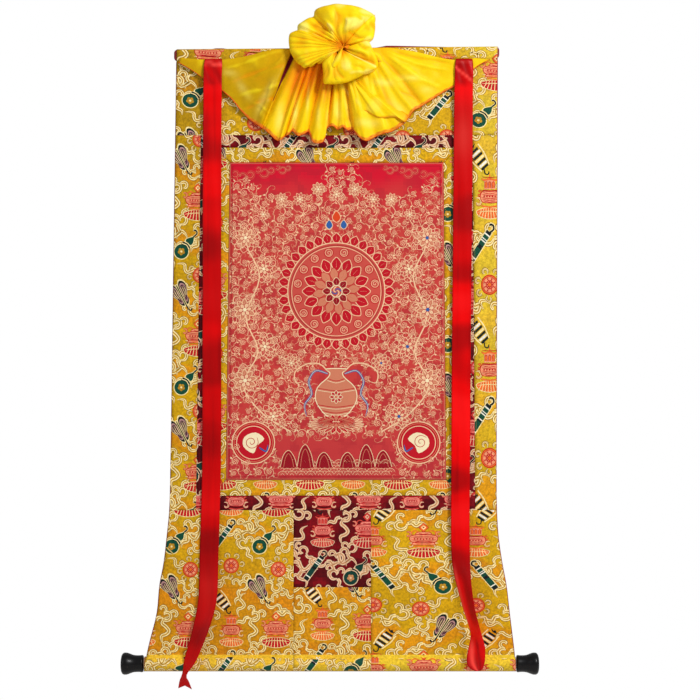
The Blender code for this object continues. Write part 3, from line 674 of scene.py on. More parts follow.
def bakeModifier(obj, tree, values):
    # gives the mesh that the node tree makes, and removes the helper object
    modifier = obj.modifiers.new("nodes", "NODES")
    modifier.node_group = tree
    for item in tree.interface.items_tree:
        if item.item_type == "SOCKET" and item.in_out == "INPUT" and item.name in values:
            modifier[item.identifier] = values[item.name]
    graph = bpy.context.evaluated_depsgraph_get()
    graph.update()
    made = bpy.data.meshes.new_from_object(obj.evaluated_get(graph), depsgraph=graph)
    obj.modifiers.remove(modifier)
    bpy.data.objects.remove(obj, do_unlink=True)
    return made


def spreadTile(low, high, origin, pitch, material):
    # repeats to cover the box low..high with a gourd at origin; returns points, triangles, threads
    width, height = abs(pitch[0]), pitch[1]
    firstX, lastX = math.floor((low[0] - origin[0]) / width), math.ceil((high[0] - origin[0]) / width) + 1
    firstY, lastY = math.floor((low[1] - origin[1]) / height), math.ceil((high[1] - origin[1]) / height) + 1
    columns, rows = lastX - firstX + 1, lastY - firstY + 1
    obj = bpy.data.objects.new("repeat", tileMesh)
    bpy.context.scene.collection.objects.link(obj)
    tileWidth, tileHeight = brocade["tileWidth"], brocade["tileHeight"]
    made = bakeModifier(obj, repeatAcross, {"Columns": columns, "Rows": rows, "Pitch X": tileWidth,
                                            "Pitch Y": tileHeight, "Material": material})
    verts, faces, threads = meshArrays(made)
    bpy.data.meshes.remove(made)
    # the grid is centred: shift so that one repeat's origin lands on the given point
    centreX, centreY = (firstX + lastX) / 2 * width, (firstY + lastY) / 2 * height
    sx, sy = pitch[0] / tileWidth, pitch[1] / tileHeight
    verts[:, 0] = origin[0] + centreX + verts[:, 0] * sx
    verts[:, 1] = origin[1] + centreY + verts[:, 1] * sy
    if sx < 0:
        faces = faces[:, ::-1]
    corners = verts[faces]
    inside = ((corners[:, :, 0].max(1) > low[0]) & (corners[:, :, 0].min(1) < high[0])
              & (corners[:, :, 1].max(1) > low[1]) & (corners[:, :, 1].min(1) < high[1]))
    faces, threads = faces[inside], threads[inside]
    used, order = np.unique(faces, return_inverse=True)
    return verts[used], order.reshape(-1, 3), threads


def openMesh(verts, faces, threads):
    mesh = bpy.data.meshes.new("cutting")
    mesh.from_pydata(verts.tolist(), [], faces.tolist())
    mesh.attributes.new("thread", "INT", "FACE").data.foreach_set("value", threads.tolist())
    bm = bmesh.new()
    bm.from_mesh(mesh)
    return mesh, bm


def closeMesh(mesh, bm):
    bmesh.ops.triangulate(bm, faces=bm.faces)
    bm.to_mesh(mesh)
    bm.free()
    arrays = meshArrays(mesh)
    bpy.data.meshes.remove(mesh)
    return arrays


def bisect(bm, point, normal, clear=False, part=None):
    if part is None:
        geom = bm.verts[:] + bm.edges[:] + bm.faces[:]
    else:
        around = [part, (e for f in part for e in f.edges), (v for f in part for v in f.verts)]
        geom = list(dict.fromkeys(item for items in around for item in items))  # in the same order each run
    bmesh.ops.bisect_plane(bm, geom=geom, dist=1e-5, plane_co=(*point, 0), plane_no=(*normal, 0), clear_outer=clear)


def cutToShape(verts, faces, threads, cuts, bands=()):
    # cuts are (point, outward normal) in x, z; bands are (z top, z bottom, cut) for curved edges
    mesh, bm = openMesh(verts, faces, threads)
    for point, normal in cuts:
        bisect(bm, point, normal, True)
    for z in sorted({z for band in bands for z in band[:2]})[1:-1]:
        bisect(bm, (0, z), (0, 1))
    for top, bottom, (point, normal) in bands:
        part = [f for f in bm.faces if bottom < f.calc_center_median().y < top]
        if part:
            bisect(bm, point, normal, True, part)
    return closeMesh(mesh, bm)


def splitLevels(verts, tris, kept, levels):
    # extra level cuts where the cloth goes round the stave or the roller
    mesh, bm = openMesh(verts, tris, kept)
    for z in levels:
        near = [f for f in bm.faces if min(v.co.y for v in f.verts) < z < max(v.co.y for v in f.verts)]
        if near:
            bisect(bm, (0, z), (0, 1), False, near)
    return closeMesh(mesh, bm)


def splitLong(verts, tris, threads, longest=13.0):
    # flat motifs have to follow the waves of the cloth under them
    verts, done = [tuple(v) for v in verts], []
    pending = [(tuple(f), k) for f, k in zip(tris.tolist(), threads.tolist())]
    middles = {}
    while pending:
        face, thread = pending.pop()
        sides = [(math.dist(verts[face[i]][:2], verts[face[(i + 1) % 3]][:2]), i) for i in range(3)]
        size, i = max(sides)
        if size <= longest:
            done.append((face, thread))
            continue
        a, b, c = face[i], face[(i + 1) % 3], face[(i + 2) % 3]
        key = (min(a, b), max(a, b))
        if key not in middles:
            middles[key] = len(verts)
            verts.append(tuple((p + q) / 2 for p, q in zip(verts[a], verts[b])))
        m = middles[key]
        pending += [((a, m, c), thread), ((m, b, c), thread)]
    return np.array(verts), np.array([f for f, _ in done]), np.array([k for _, k in done])


def wrapPattern(verts):
    # flat pattern onto the front of the hanging cloth
    x, z, level = verts[:, 0], verts[:, 1], verts[:, 2]
    y = frontY(x, z) - (brocade["lift"] + brocade["step"] * level)
    return np.stack([x, y, lift(x, z)], 1)


yellowThreads = {
    "cream": tone("ffe7a2"), "brown": tone("7e4e08"), "ochre": tone("c08c20"), "orange": tone("f06e2c"),
    "red": tone("c4161a"),
    "green": tone("0c4a36"), "dark": tone("0d1a1c"), "white": tone("f3eedc"), "plum": tone("5b3440"),
    "pink": tone("f49a70"),
    "gold": tone("e8b830"), "blue": tone("2c4f86"), "rose": tone("b98a86")}
redThreads = {**yellowThreads, "cream": tone("f0caa2"), "brown": tone("5c0a10"), "ochre": tone("c98a5a"),
              "orange": tone("d8433a"),
              "red": tone("c01822"), "pink": tone("f08a78"), "green": tone("0f3d33"), "plum": tone("4a2a38")}
groundTones = {"green": tone("c79c08"), "yellow": tone("dda60a"), "orange": tone("e08a0c"), "deep": tone("b86208"),
               "paintedLight": tone("e6cc3a")}
redGround = {"dark": tone("540009"), "bright": tone("7e0210")}


def yellowGround(x, z, origin, pitch):
    u, v = (x - origin[0]) / pitch[0], (z - origin[1]) / pitch[1]
    wave = 0.5 + 0.5 * math.sin(2 * math.pi * (2 * v + 0.10 * math.sin(2 * math.pi * u) + 0.02)) + 0.35 * noise.noise(
        (x / 46, z / 38, 3.1))
    warm = float(ease(0.55, 0.95, wave))
    deep = float(ease(0.1, 0.5, noise.noise((x / 22, z / 26, 9.4)))) * 0.5
    green = np.array(groundTones["green"]) * (1 - warm) + np.array(groundTones["orange"]) * warm
    blend = float(ease(-0.2, 0.3, noise.noise((x / 60, z / 70, 1.7))))
    mixed = green * (0.55 + 0.1 * warm) + np.array(groundTones["yellow"]) * (0.45 - 0.1 * warm)
    # painted highlight along the top of the sleeve, where the cloth rounds the roller
    sleeveLight = 0.22 * float(ease(mount["sleeveTop"] + 1, mount["sleeveTop"] - 3, z))
    sunlit = 1.0 + sleeveLight * float(ease(-1262, -1250, z))
    dyeWithPaintedLight = mixed * (1 - deep * warm * 0.5) + np.array(groundTones["deep"]) * deep * warm * 0.5
    # painted highlight: a paler ground over the right strip and at the top of the sleeve
    paintedLight = max(0.55 * float(ease(220, 300, x) * ease(-1000, -500, z)),
               0.5 * float(ease(mount["sleeveTop"] + 1, mount["sleeveTop"] - 3, z)))
    dyeWithPaintedLight = dyeWithPaintedLight * (1 - paintedLight) + np.array(groundTones["paintedLight"]) * paintedLight
    low = 0.55 * float(ease(-1000, -1140, z) * ease(120, -80, x)) * (z > mount["sleeveTop"] + 2)
    dyeWithPaintedLight = dyeWithPaintedLight * (1 - low) + (0.6 * np.array(groundTones["orange"]) + 0.4 * np.array(groundTones["deep"])) * low
    shade = 1.0 - 0.28 * float(ease(-180, -300, x) * ease(-420, -60, z))
    return tuple(dyeWithPaintedLight * (0.94 + 0.1 * blend) * sunlit * shade)


def darkGround(x, z, *_):
    k = float(ease(-0.25, 0.35, noise.noise((x / 34, z / 30, 5.2))))
    return tuple(np.array(redGround["dark"]) * (1 - k) + np.array(redGround["bright"]) * k)


brocadeCloth = clothMaterial("brocadeGround", None, {"rough": 0.5, "threads": 1100.0, "bump": 0.3, "sheen": 0.03,
                                                     "mottle": 0.38,
                                                       "uneven": 0.16})
brocadeSilk = clothMaterial("brocadeThreads", None, {"rough": 0.42, "threads": 1400.0, "bump": 0.35, "sheen": 0.03,
                                                     "shade": 0.2,
                                                        "mottle": 0.24})


def fixed(value):
    return lambda at: np.zeros_like(np.asarray(at, float)) + value


def seam(name, inset):
    return lambda z: seamX(name, z) + inset


half = mount["gap"] / 2
headDrop, footRise = mount["head"] - mount["redTop"], mount["innerLow"] - mount["foot"]


def mitre(outer, inner, z, inset):
    z = np.asarray(z, float)
    t = np.where(z > mount["head"], (z - mount["redTop"]) / headDrop, (mount["innerLow"] - z) / footRise)
    t = np.clip(t, 0, 1)
    return seamX(outer, z) * (1 - t) + seamX(inner, z) * t + inset


sleeveWrap = arc(mount["sleeve"], 45, 151.5, 14, -1)


def namedThreads(palette):
    return np.array([palette.get(n, (0.5, 0.5, 0.5)) for n in threadNames])


def edgeCut(edge, a, b, sign):
    # cut along an upright edge between two heights
    xa, xb = float(edge(a)), float(edge(b))
    normal = np.array([a - b, xb - xa]) * sign
    return (xa, a), tuple(normal / np.linalg.norm(normal))


def slantCut(edge, left, right, sign):
    a, b = float(edge(0.0)), float(edge(1.0))
    xa, xb = float(left(a)), float(right(b))
    normal = np.array([a - b, xb - xa]) * sign
    return (xa, a), tuple(normal / np.linalg.norm(normal))


def faceTones(ground, x, z, *more):
    middleX, middleZ = ((grid[:-1, :-1] + grid[1:, 1:]).ravel() / 2 for grid in (x, z))
    return [ground(px, pz, *more) for px, pz in zip(middleX, middleZ)]


def makePanel(name, left, right, top, bottom, ground, threads, origin, pitch, before=(), after=(), cut=None):
    front, back, x, z = panelBody(left, right, top, bottom, before, after)
    faces = clothFaces(*x.shape)
    tints = faceTones(ground, x, z, origin, pitch)
    tints = np.array(tints + [np.array(t) * 0.7 for t in tints] + [tints[0]] * (len(faces) - 2 * len(tints)))
    cloth = addPiece(name, np.vstack([front.reshape(-1, 3), back.reshape(-1, 3)]), faces, brocadeCloth, True, tints)
    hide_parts(cut["node"])
    # the woven pattern, cut where the panel is cut
    slope = cut.get("slope", 0.0)
    spread = brocade["spread"] if slope else 1.0
    pattern = spreadTile((x.min(), z.min() - spread), (x.max(), z.max() + spread), origin, pitch, brocadeSilk)
    pattern[0][:, 1] -= slope * (pattern[0][:, 0] - origin[0])
    ends = np.linspace(0, 1, 3)
    zTop, zBottom = float(np.max(top(ends))), float(np.min(bottom(ends)))
    if cut.get("slantTop"):
        cuts = [slantCut(top, left, right, 1), slantCut(bottom, left, right, -1)]
    else:
        cuts = [((0, z.max() if before else zTop), (0, 1)), ((0, z[:, 0].min() if after else zBottom), (0, -1))]
    bands = []
    for edge, sign, kind in ((left, -1, "left"), (right, 1, "right")):
        if cut.get("curved") == kind:
            levels = np.linspace(zTop, z.min(), 14)
            bands = [(a, b, edgeCut(edge, a, b, sign)) for a, b in zip(levels, levels[1:])]
        else:
            cuts.append(edgeCut(edge, zTop, zBottom, sign))
    verts, tris, kept = cutToShape(*pattern, cuts, bands)
    if before or after:
        sleeve = [mount["sleeveTop"], mount["sleeveTop"] + 2.5] if after else []
        verts, tris, kept = splitLevels(verts, tris, kept, [p[1] for p in [*before, *after]] + sleeve)
    verts, tris, kept = splitLong(verts, tris, kept)
    woven = addPiece(name + "Pattern", wrapPattern(verts), tris.tolist(), brocadeSilk, False,
                     namedThreads(threads)[kept],
                     closed=False)


yellow = (yellowGround, yellowThreads)
dark = (darkGround, redThreads)
low, border = mount["low"], mount["border"]
makePanel("brocadeTop", edgeLeft, edgeRight, fixed(wrapEnd), fixed(border + half), *yellow, (-303, -95), (198, 270),
          before=overStave, cut={"slope": 0.07, "node": "brocade_top", "flat": (0.67, 0.19)})
makePanel("brocadeLeft", edgeLeft, seam("strip_left", -half), fixed(border - half), fixed(low + half), *yellow,
          (-321, -407), (181, 280), cut={"node": "brocade_left", "flat": (0.060, 0.775)})
makePanel("brocadeRight", seam("strip_right", half), edgeRight, fixed(border - half), fixed(low + half), *yellow,
          (380, -424), (205, 357), cut={"node": "brocade_right", "flat": (0.052, 0.775)})
makePanel("redTop", seam("strip_left", half), seam("strip_right", -half), fixed(border - half),
          fixed(mount["redTop"] + half),
          *dark, (150, -215), (181, 270), cut={"node": "frame_red_top", "flat": (0.563, 0.027)})
makePanel("redBottom", seam("strip_left", half), seam("strip_right", -half), fixed(mount["innerLow"] - half),
          fixed(low + half),
          *dark, (-150, -1020), (181, 270), cut={"node": "frame_red_bottom", "flat": (0.578, 0.031)})
makePanel("redLeft", seam("strip_left", half), seam("red_left", -half), fixed(mount["redTop"] - half),
          fixed(mount["innerLow"] + half), *dark, (-300, -330), (181, 270),
          cut={"node": "frame_red_left", "flat": (0.035, 0.72)})
makePanel("redRight", seam("red_right", half), seam("strip_right", -half), fixed(mount["redTop"] - half),
          fixed(mount["innerLow"] + half), *dark, (250, -330), (181, 270),
          cut={"node": "frame_red_right", "flat": (0.034, 0.72)})
makePanel("innerTop", lambda z: mitre("red_left", "inner_left", z, 0.3),
          lambda z: mitre("red_right", "inner_right", z, -0.3),
          fixed(mount["redTop"] - half), fixed(mount["head"] + half), *yellow, (-60, -130), (181, 270),
          cut={"node": "inner_top", "flat": (0.50, 0.031)})
makePanel("innerBottom", lambda z: mitre("red_left", "inner_left", z, 0.3),
          lambda z: mitre("red_right", "inner_right", z, -0.3),
          fixed(mount["foot"] - half), fixed(mount["innerLow"] + half), *yellow, (-90, -690), (181, 270),
          cut={"node": "inner_bottom", "flat": (0.515, 0.033)})
makePanel("innerLeft", seam("red_left", half), seam("inner_left", -half),
          lambda s: mount["redTop"] - 0.3 + headDrop * s,
          lambda s: mount["innerLow"] + 0.3 - footRise * s, *yellow, (-290, -300), (181, 270),
          cut={"node": "inner_left", "flat": (0.031, 0.72), "slantTop": True})
makePanel("innerRight", seam("inner_right", half), seam("red_right", -half),
          lambda s: mount["head"] - 0.3 - headDrop * s,
          lambda s: mount["foot"] + 0.3 + footRise * s, *yellow, (228, -330), (181, 270),
          cut={"node": "inner_right", "flat": (0.032, 0.72), "slantTop": True})
makePanel("doorPanel", fixed(mount["doorLeft"] + half), fixed(mount["doorRight"] - half), fixed(low - half),
          fixed(mount["doorFoot"] + half), *dark, (28, -1080), (181, 270),
          cut={"node": "door", "flat": (0.162, 0.160)})
makePanel("lowLeft", edgeLeft, fixed(mount["doorLeft"] - half), fixed(low - half), fixed(mount["sleeveTop"]), *yellow,
          (-160, -1015), (181, 270), after=sleeveWrap, cut={"node": "brocade_low_left", "flat": (0.305, 0.39),
                                                            "curved": "left"})
makePanel("lowMiddle", fixed(mount["doorLeft"] + half), fixed(mount["doorRight"] - half),
          fixed(mount["doorFoot"] - half),
          fixed(mount["sleeveTop"]), *yellow, (28, -1002), (181, 270), after=sleeveWrap,
          cut={"node": "brocade_low_mid", "flat": (0.16, 0.19)})
makePanel("lowRight", fixed(mount["doorRight"] + half), edgeRight, fixed(low - half), fixed(mount["sleeveTop"]),
          *yellow,
          (218, -1098), (-212, 262), after=sleeveWrap, cut={"node": "brocade_low_right", "flat": (0.30, 0.39),
                                                            "curved": "right"})
print("brocade laid")


painting = {
    "width": 446.0, "height": 654.0, "lift": 0.06, "step": 0.03, "spacing": 19.5, "seed": 11,
    "ground": {"top": tone("d00a2a"), "middle": tone("c63c38"), "foot": tone("bd3238"), "shade": tone("a01c2c")},
    "paints": {
        "goldLine": tone("efc69c"), "goldDim": tone("cf7c5e"), "crimson": tone("bd1022"), "deepRed": tone("940f1e"),
        "rosy": tone("c84c42"), "azure": tone("2f5c9e"), "jade": tone("7fb0a6"), "cream": tone("f3e2b8"),
        "orange": tone("d8431c")},
}


def petalRing(fill, stroke, x, y, inner, outer, count, body, line, level, width=1.0, point=0.0, turn=0.0, squash=1.0):
    step = 2 * math.pi / count
    for k in range(count):
        a = turn + step * k
        spread = step * 0.46
        shape = []
        for r, side in ((inner, -0.55), (inner + (outer - inner) * 0.55, -1.0),
                        (outer * (1 - 0.03 * (1 - point)), -0.45 * (1 - point)),
                        (outer, 0.0), (outer * (1 - 0.03 * (1 - point)), 0.45 * (1 - point)),
                        (inner + (outer - inner) * 0.55, 1.0), (inner, 0.55)):
            b = a + spread * side
            shape.append((x + r * math.cos(b), y + r * squash * math.sin(b)))
        if body:
            fill(shape, body, level, 3)
        stroke(shape, width, line, level + 1, closed=True, steps=3)
        r0, r1 = inner + (outer - inner) * 0.2, inner + (outer - inner) * 0.72
        stroke([(x + r0 * math.cos(a), y + r0 * squash * math.sin(a)),
                (x + r1 * math.cos(a), y + r1 * squash * math.sin(a))],
               width * 0.8, line, level + 2, (0.3, 0.1), steps=1)


def blossom(drawing, x, y, size, turn=0.0, body="rosy", heart="cream"):
    fill, stroke = pen(drawing, x, y, turn, size)
    petalRing(fill, stroke, 0, 0, 5, 15, 9, body, "goldLine", 3, 1.1, 0.6)
    petalRing(fill, stroke, 0, 0, 2.5, 9, 6, "goldLine", "crimson", 6, 0.7, 0.3, 0.3)
    fill(ring(2.6, 6), heart, 9, 2)


def leafSpray():
    # a curled stem with leaves and buds, set out many times over the ground
    spray = newDrawing()
    fill, stroke = pen(spray)
    stem = curlPoints(11.5, -100, 330, 0.72, 9)
    stroke([(-14, -15), (-5, -15)] + stem, 1.0, "goldLine", 1, (0.4, 0.3), steps=2)
    for k, (px, py) in enumerate(stem[:7]):
        a = math.radians(-100 + 330 * k / 8 + (25 if k % 2 else -20))
        tip = (px + 6.2 * math.cos(a), py + 6.2 * math.sin(a))
        side = (-math.sin(a) * 1.9, math.cos(a) * 1.9)
        middle = ((px + tip[0]) / 2, (py + tip[1]) / 2)
        fill([(px, py), (middle[0] + side[0], middle[1] + side[1]), tip, (middle[0] - side[0], middle[1] - side[1])],
             ("goldDim", "goldLine", "goldDim")[k % 3], 2, 0)
    for k in range(5):
        a = 2 * math.pi * k / 5
        petal = ring(2.3, 6, 3.0 * math.cos(a), 3.0 * math.sin(a))
        fill(petal, "rosy", 3, 0)
        stroke(petal, 0.7, "goldLine", 4, closed=True, steps=1)
    fill(ring(1.2, 5), "crimson", 6, 0)
    stroke([(-14, -15), (-18, -9), (-14, -5), (-11, -8)], 1.0, "goldDim", 1, (0.5, 0.2), steps=2)
    stroke([(8, -12), (15, -14), (19, -9), (16, -5)], 1.0, "goldDim", 1, (0.5, 0.2), steps=2)
    return spray


def waterRows(drawing, rows, left, right, foot, size):
    fill, stroke = pen(drawing)
    for r in range(rows):
        y = foot + r * size * 0.62
        count = int((right - left) / (2 * size))
        for k in range(count):
            x = left + size + 2 * size * k + (size if r % 2 else 0)
            for n, thread in enumerate(("goldLine", "goldDim", "goldLine")):
                radius = size * (1 - 0.3 * n)
                stroke([(x + radius * math.cos(a), y + radius * math.sin(a)) for a in np.linspace(0.15, 2.99, 7)],
                       0.9, thread, 2 + r, (0.4, 0.4), steps=1)


def paintedDesign():
    art = newDrawing()
    fill, stroke = pen(art)
    # great lotus wheel in the middle
    cx, cy = 0.0, 62.0
    fill(ring(118, 24, cx, cy), "rosy", 3, 2)
    petalRing(fill, stroke, cx, cy, 101, 121, 36, "crimson", "goldLine", 4, 1.3, 0.9)
    for r, w, thread in ((100, 2.0, "goldLine"), (95, 1.0, "deepRed"), (92, 1.3, "goldLine")):
        stroke(ring(r, 24, cx, cy), w, thread, 7, closed=True, steps=3)
    for k in range(16):
        a = 2 * math.pi * (k + 0.5) / 16
        bx, by = cx + 81 * math.cos(a), cy + 81 * math.sin(a)
        stroke(ring(9.6, 8, bx, by), 1.2, "crimson", 7, closed=True, steps=3)
        stroke(ring(7.4, 8, bx, by), 1.0, "goldLine", 7, closed=True, steps=3)
        stroke(curlPoints(5.6, 60 * k, 420, 0.85, 9, bx, by), 1.0, "goldLine", 8, (0.5, 0.3), steps=3)
    petalRing(fill, stroke, cx, cy, 44, 70, 16, "crimson", "goldLine", 7, 1.4, 0.5)
    petalRing(fill, stroke, cx, cy, 24, 48, 12, "goldDim", "crimson", 10, 1.1, 0.4, 0.13)
    petalRing(fill, stroke, cx, cy, 12, 28, 8, "deepRed", "goldLine", 13, 1.2, 0.4)
    stroke(ring(12, 10, cx, cy), 1.6, "cream", 16, closed=True, steps=3)
    for k in range(4):
        stroke(curlPoints(9.5, 90 * k, 150, 0.9, 6, cx, cy), 2.2, ("azure", "goldLine")[k % 2], 16, (0.9, 0.2),
               steps=3)
    # three-part jewel above it, with a canopy of blossoms
    for px, py, s in ((0, 214, 1.0), (-15, 198, 0.8), (15, 198, 0.8)):
        fill([(px - 9 * s, py), (px, py + 14 * s), (px + 9 * s, py), (px, py - 10 * s)], "azure" if px else "orange",
             8, 3)
        stroke([(px - 9 * s, py), (px, py + 14 * s), (px + 9 * s, py), (px, py - 10 * s)], 1.3, "goldLine", 9,
               closed=True, steps=3)
    for k in range(-4, 5):
        px, py = 38.0 * k, 262 - 2.6 * k * k + (k % 2) * 13
        blossom(art, px, py, 0.98 - 0.04 * abs(k), 20 * k, ("rosy", "goldDim")[k % 2])
        stroke([(px, py - 12), (px + 8, py - 24), (px + 2, py - 34), (px - 7, py - 30)], 1.3, "goldLine", 2,
               (0.8, 0.2))
    # vase under the wheel, on a lotus seat
    vase = [(-20, -98), (-13, -106), (-17, -116), (-38, -136), (-42, -162), (-28, -186), (-14, -196), (14, -196),
            (28, -186),
            (42, -162), (38, -136), (17, -116), (13, -106), (20, -98)]
    fill(vase, "goldDim", 5, 3)
    stroke(vase, 1.8, "cream", 6, closed=True, steps=3)
    for h, w in ((-118, 18), (-138, 38), (-172, 38), (-184, 29)):
        stroke([(-w, h), (0, h - 5), (w, h)], 1.5, "crimson", 6)
        stroke([(-w, h - 4), (0, h - 9), (w, h - 4)], 0.9, "cream", 6)
    petalRing(fill, stroke, 0, -156, 4, 13, 8, "crimson", "cream", 7, 1.0, 0.4)
    for side in (-1, 1):
        stroke([(side * 17, -108), (side * 42, -102), (side * 56, -124), (side * 50, -150), (side * 64, -172),
                (side * 60, -196)],
               4.2, "azure", 6, (0.7, 0.2))
        stroke([(side * 17, -108), (side * 42, -102), (side * 56, -124), (side * 50, -150), (side * 64, -172),
                (side * 60, -196)],
               0.9, "cream", 7, (0.7, 0.2))
        stroke([(side * 16, -104), (side * 34, -88), (side * 60, -88), (side * 84, -104), (side * 82, -126),
                (side * 68, -124)],
               2.4, "goldLine", 6, (0.8, 0.3))
    petalRing(fill, stroke, 0, -212, 16, 56, 22, "crimson", "goldLine", 8, 1.3, 0.5, squash=0.34)
    petalRing(fill, stroke, 0, -207, 10, 38, 16, "goldDim", "crimson", 11, 1.0, 0.5, squash=0.3)
    # great peonies up both sides, joined by a waving stem
    for side in (-1, 1):
        stroke([(side * 92, -228), (side * 150, -190), (side * 190, -130), (side * 160, -62), (side * 186, 10),
                (side * 158, 92),
                (side * 186, 160), (side * 168, 214)], 2.6, "goldLine", 3, (0.9, 0.2))
        for px, py, s, body in ((128, -196, 1.25, "rosy"), (186, -122, 1.55, "goldDim"), (146, -52, 1.3, "rosy"),
                                (188, 24, 1.5, "goldDim"),
                                (150, 108, 1.25, "rosy"), (188, 172, 1.35, "goldDim"), (92, -86, 0.9, "rosy")):
            blossom(art, side * px, py, s, side * px, body, "azure" if (px + side) % 3 == 0 else "cream")
            petalRing(fill, stroke, side * px, py, 15 * s, 23 * s, 11, None, "goldLine", 2, 1.0, 0.7)
        # roundels in the lower corners, each with a conch-like curl
        rx, ry = side * 168, -250
        fill(ring(44, 14, rx, ry), "crimson", 4, 3)
        for r, w, thread in ((43, 2.0, "goldLine"), (39, 1.0, "goldDim"), (34, 1.6, "goldLine")):
            stroke(ring(r, 14, rx, ry), w, thread, 5, closed=True, steps=3)
        fill([(rx - side * 22, ry + 8), (rx - side * 4, ry + 21), (rx + side * 18, ry + 12), (rx + side * 20, ry - 8),
              (rx, ry - 22), (rx - side * 8, ry - 6)], "cream", 6, 3)
        stroke(curlPoints(15, 40, side * 620, 0.9, 14, rx + side * 4, ry + 1), 1.4, "crimson", 7, (0.6, 0.3), steps=3)
        stroke([(rx - side * 12, ry - 10), (rx - side * 26, ry - 18), (rx - side * 30, ry - 4)], 3.2, "azure", 6,
               (0.6, 0.2))
        # clouds in the upper corners
        for px, py, s in ((196, 296, 1.5), (150, 306, 1.25), (200, 252, 1.2), (112, 312, 1.0)):
            for lx, ly, r in ((0, 0, 10), (11, 4, 7.5), (-10, 5, 7)):
                for n in range(3):
                    stroke(curlPoints((r - 2.6 * n) * s, -160, 330, 0.35, 8, side * px + lx * s, py + ly * s), 1.1,
                           ("rosy", "goldDim", "rosy")[n], 2 + n, (0.6, 0.4), steps=3)
    # rocks and water along the foot
    waterRows(art, 5, -118, 118, -318, 9.5)
    for k, px in enumerate((-96, -62, -24, 24, 62, 96)):
        h = (34, 46, 30, 30, 46, 34)[k]
        peak = [(px - 17, -300), (px - 11, -300 + h * 0.7), (px, -300 + h), (px + 11, -300 + h * 0.6),
                (px + 17, -300)]
        fill(peak, "deepRed", 6, 3)
        stroke(peak, 1.3, "goldLine", 7)
        stroke([(p[0] * 0.6 + px * 0.4, p[1] * 0.8 - 60) for p in peak], 1.0, "goldDim", 7)
    for edge in (0, 5):
        w, h = 221 - edge, 325 - edge
        stroke([(-w, -h), (w, -h), (w, h), (-w, h)], 1.0 if edge else 1.6, "deepRed" if edge else "goldDim", 9,
               closed=True, steps=1)
    return art


def scatterTree():
    # sets one object out at random over a surface, evenly spaced and turned
    tree, given, place = newTree("scatterOver", [("Piece", "Object"), ("Spacing", "Float"), ("Density", "Float"),
                                                 ("Seed", "Int")])
    points = tree.nodes.new("GeometryNodeDistributePointsOnFaces")
    points.distribute_method = "POISSON"
    info = tree.nodes.new("GeometryNodeObjectInfo")
    turn, grow = tree.nodes.new("FunctionNodeRandomValue"), tree.nodes.new("FunctionNodeRandomValue")
    turn.data_type = "FLOAT_VECTOR"
    turn.inputs["Min"].default_value = (0, 0, 0)
    turn.inputs["Max"].default_value = (0, 0, fullTurn)
    grow.data_type = "FLOAT"
    grow.inputs[2].default_value = 0.75
    grow.inputs[3].default_value = 1.15
    for source, target in (
            (given["Geometry"], points.inputs["Mesh"]), (given["Spacing"], points.inputs["Distance Min"]),
            (given["Density"], points.inputs["Density Max"]), (given["Seed"], points.inputs["Seed"]),
            (given["Seed"], turn.inputs["Seed"]), (given["Seed"], grow.inputs["Seed"]),
            (given["Piece"], info.inputs["Object"]),
            (points.outputs["Points"], place.inputs["Points"]), (info.outputs["Geometry"], place.inputs["Instance"]),
            (turn.outputs[0], place.inputs["Rotation"]), (grow.outputs[1], place.inputs["Scale"])):
        tree.links.new(source, target)
    return tree


def paintingTone(x, z, *_):
    y = (z - mount["foot"]) / (mount["head"] - mount["foot"])
    g = painting["ground"]
    k = float(ease(0.84, 0.97, y + 0.04 * noise.noise((x / 60, z / 60, 2))))
    f = float(ease(0.3, 0.05, y))
    base = np.array(g["middle"]) * (1 - k) + np.array(g["top"]) * k
    base = base * (1 - f * 0.6) + np.array(g["foot"]) * f * 0.6
    shade = 0.35 * float(ease(-0.1, 0.4, noise.noise((x / 18, z / 18, 7.7))))
    return tuple(base * (1 - shade) + np.array(g["shade"]) * shade)


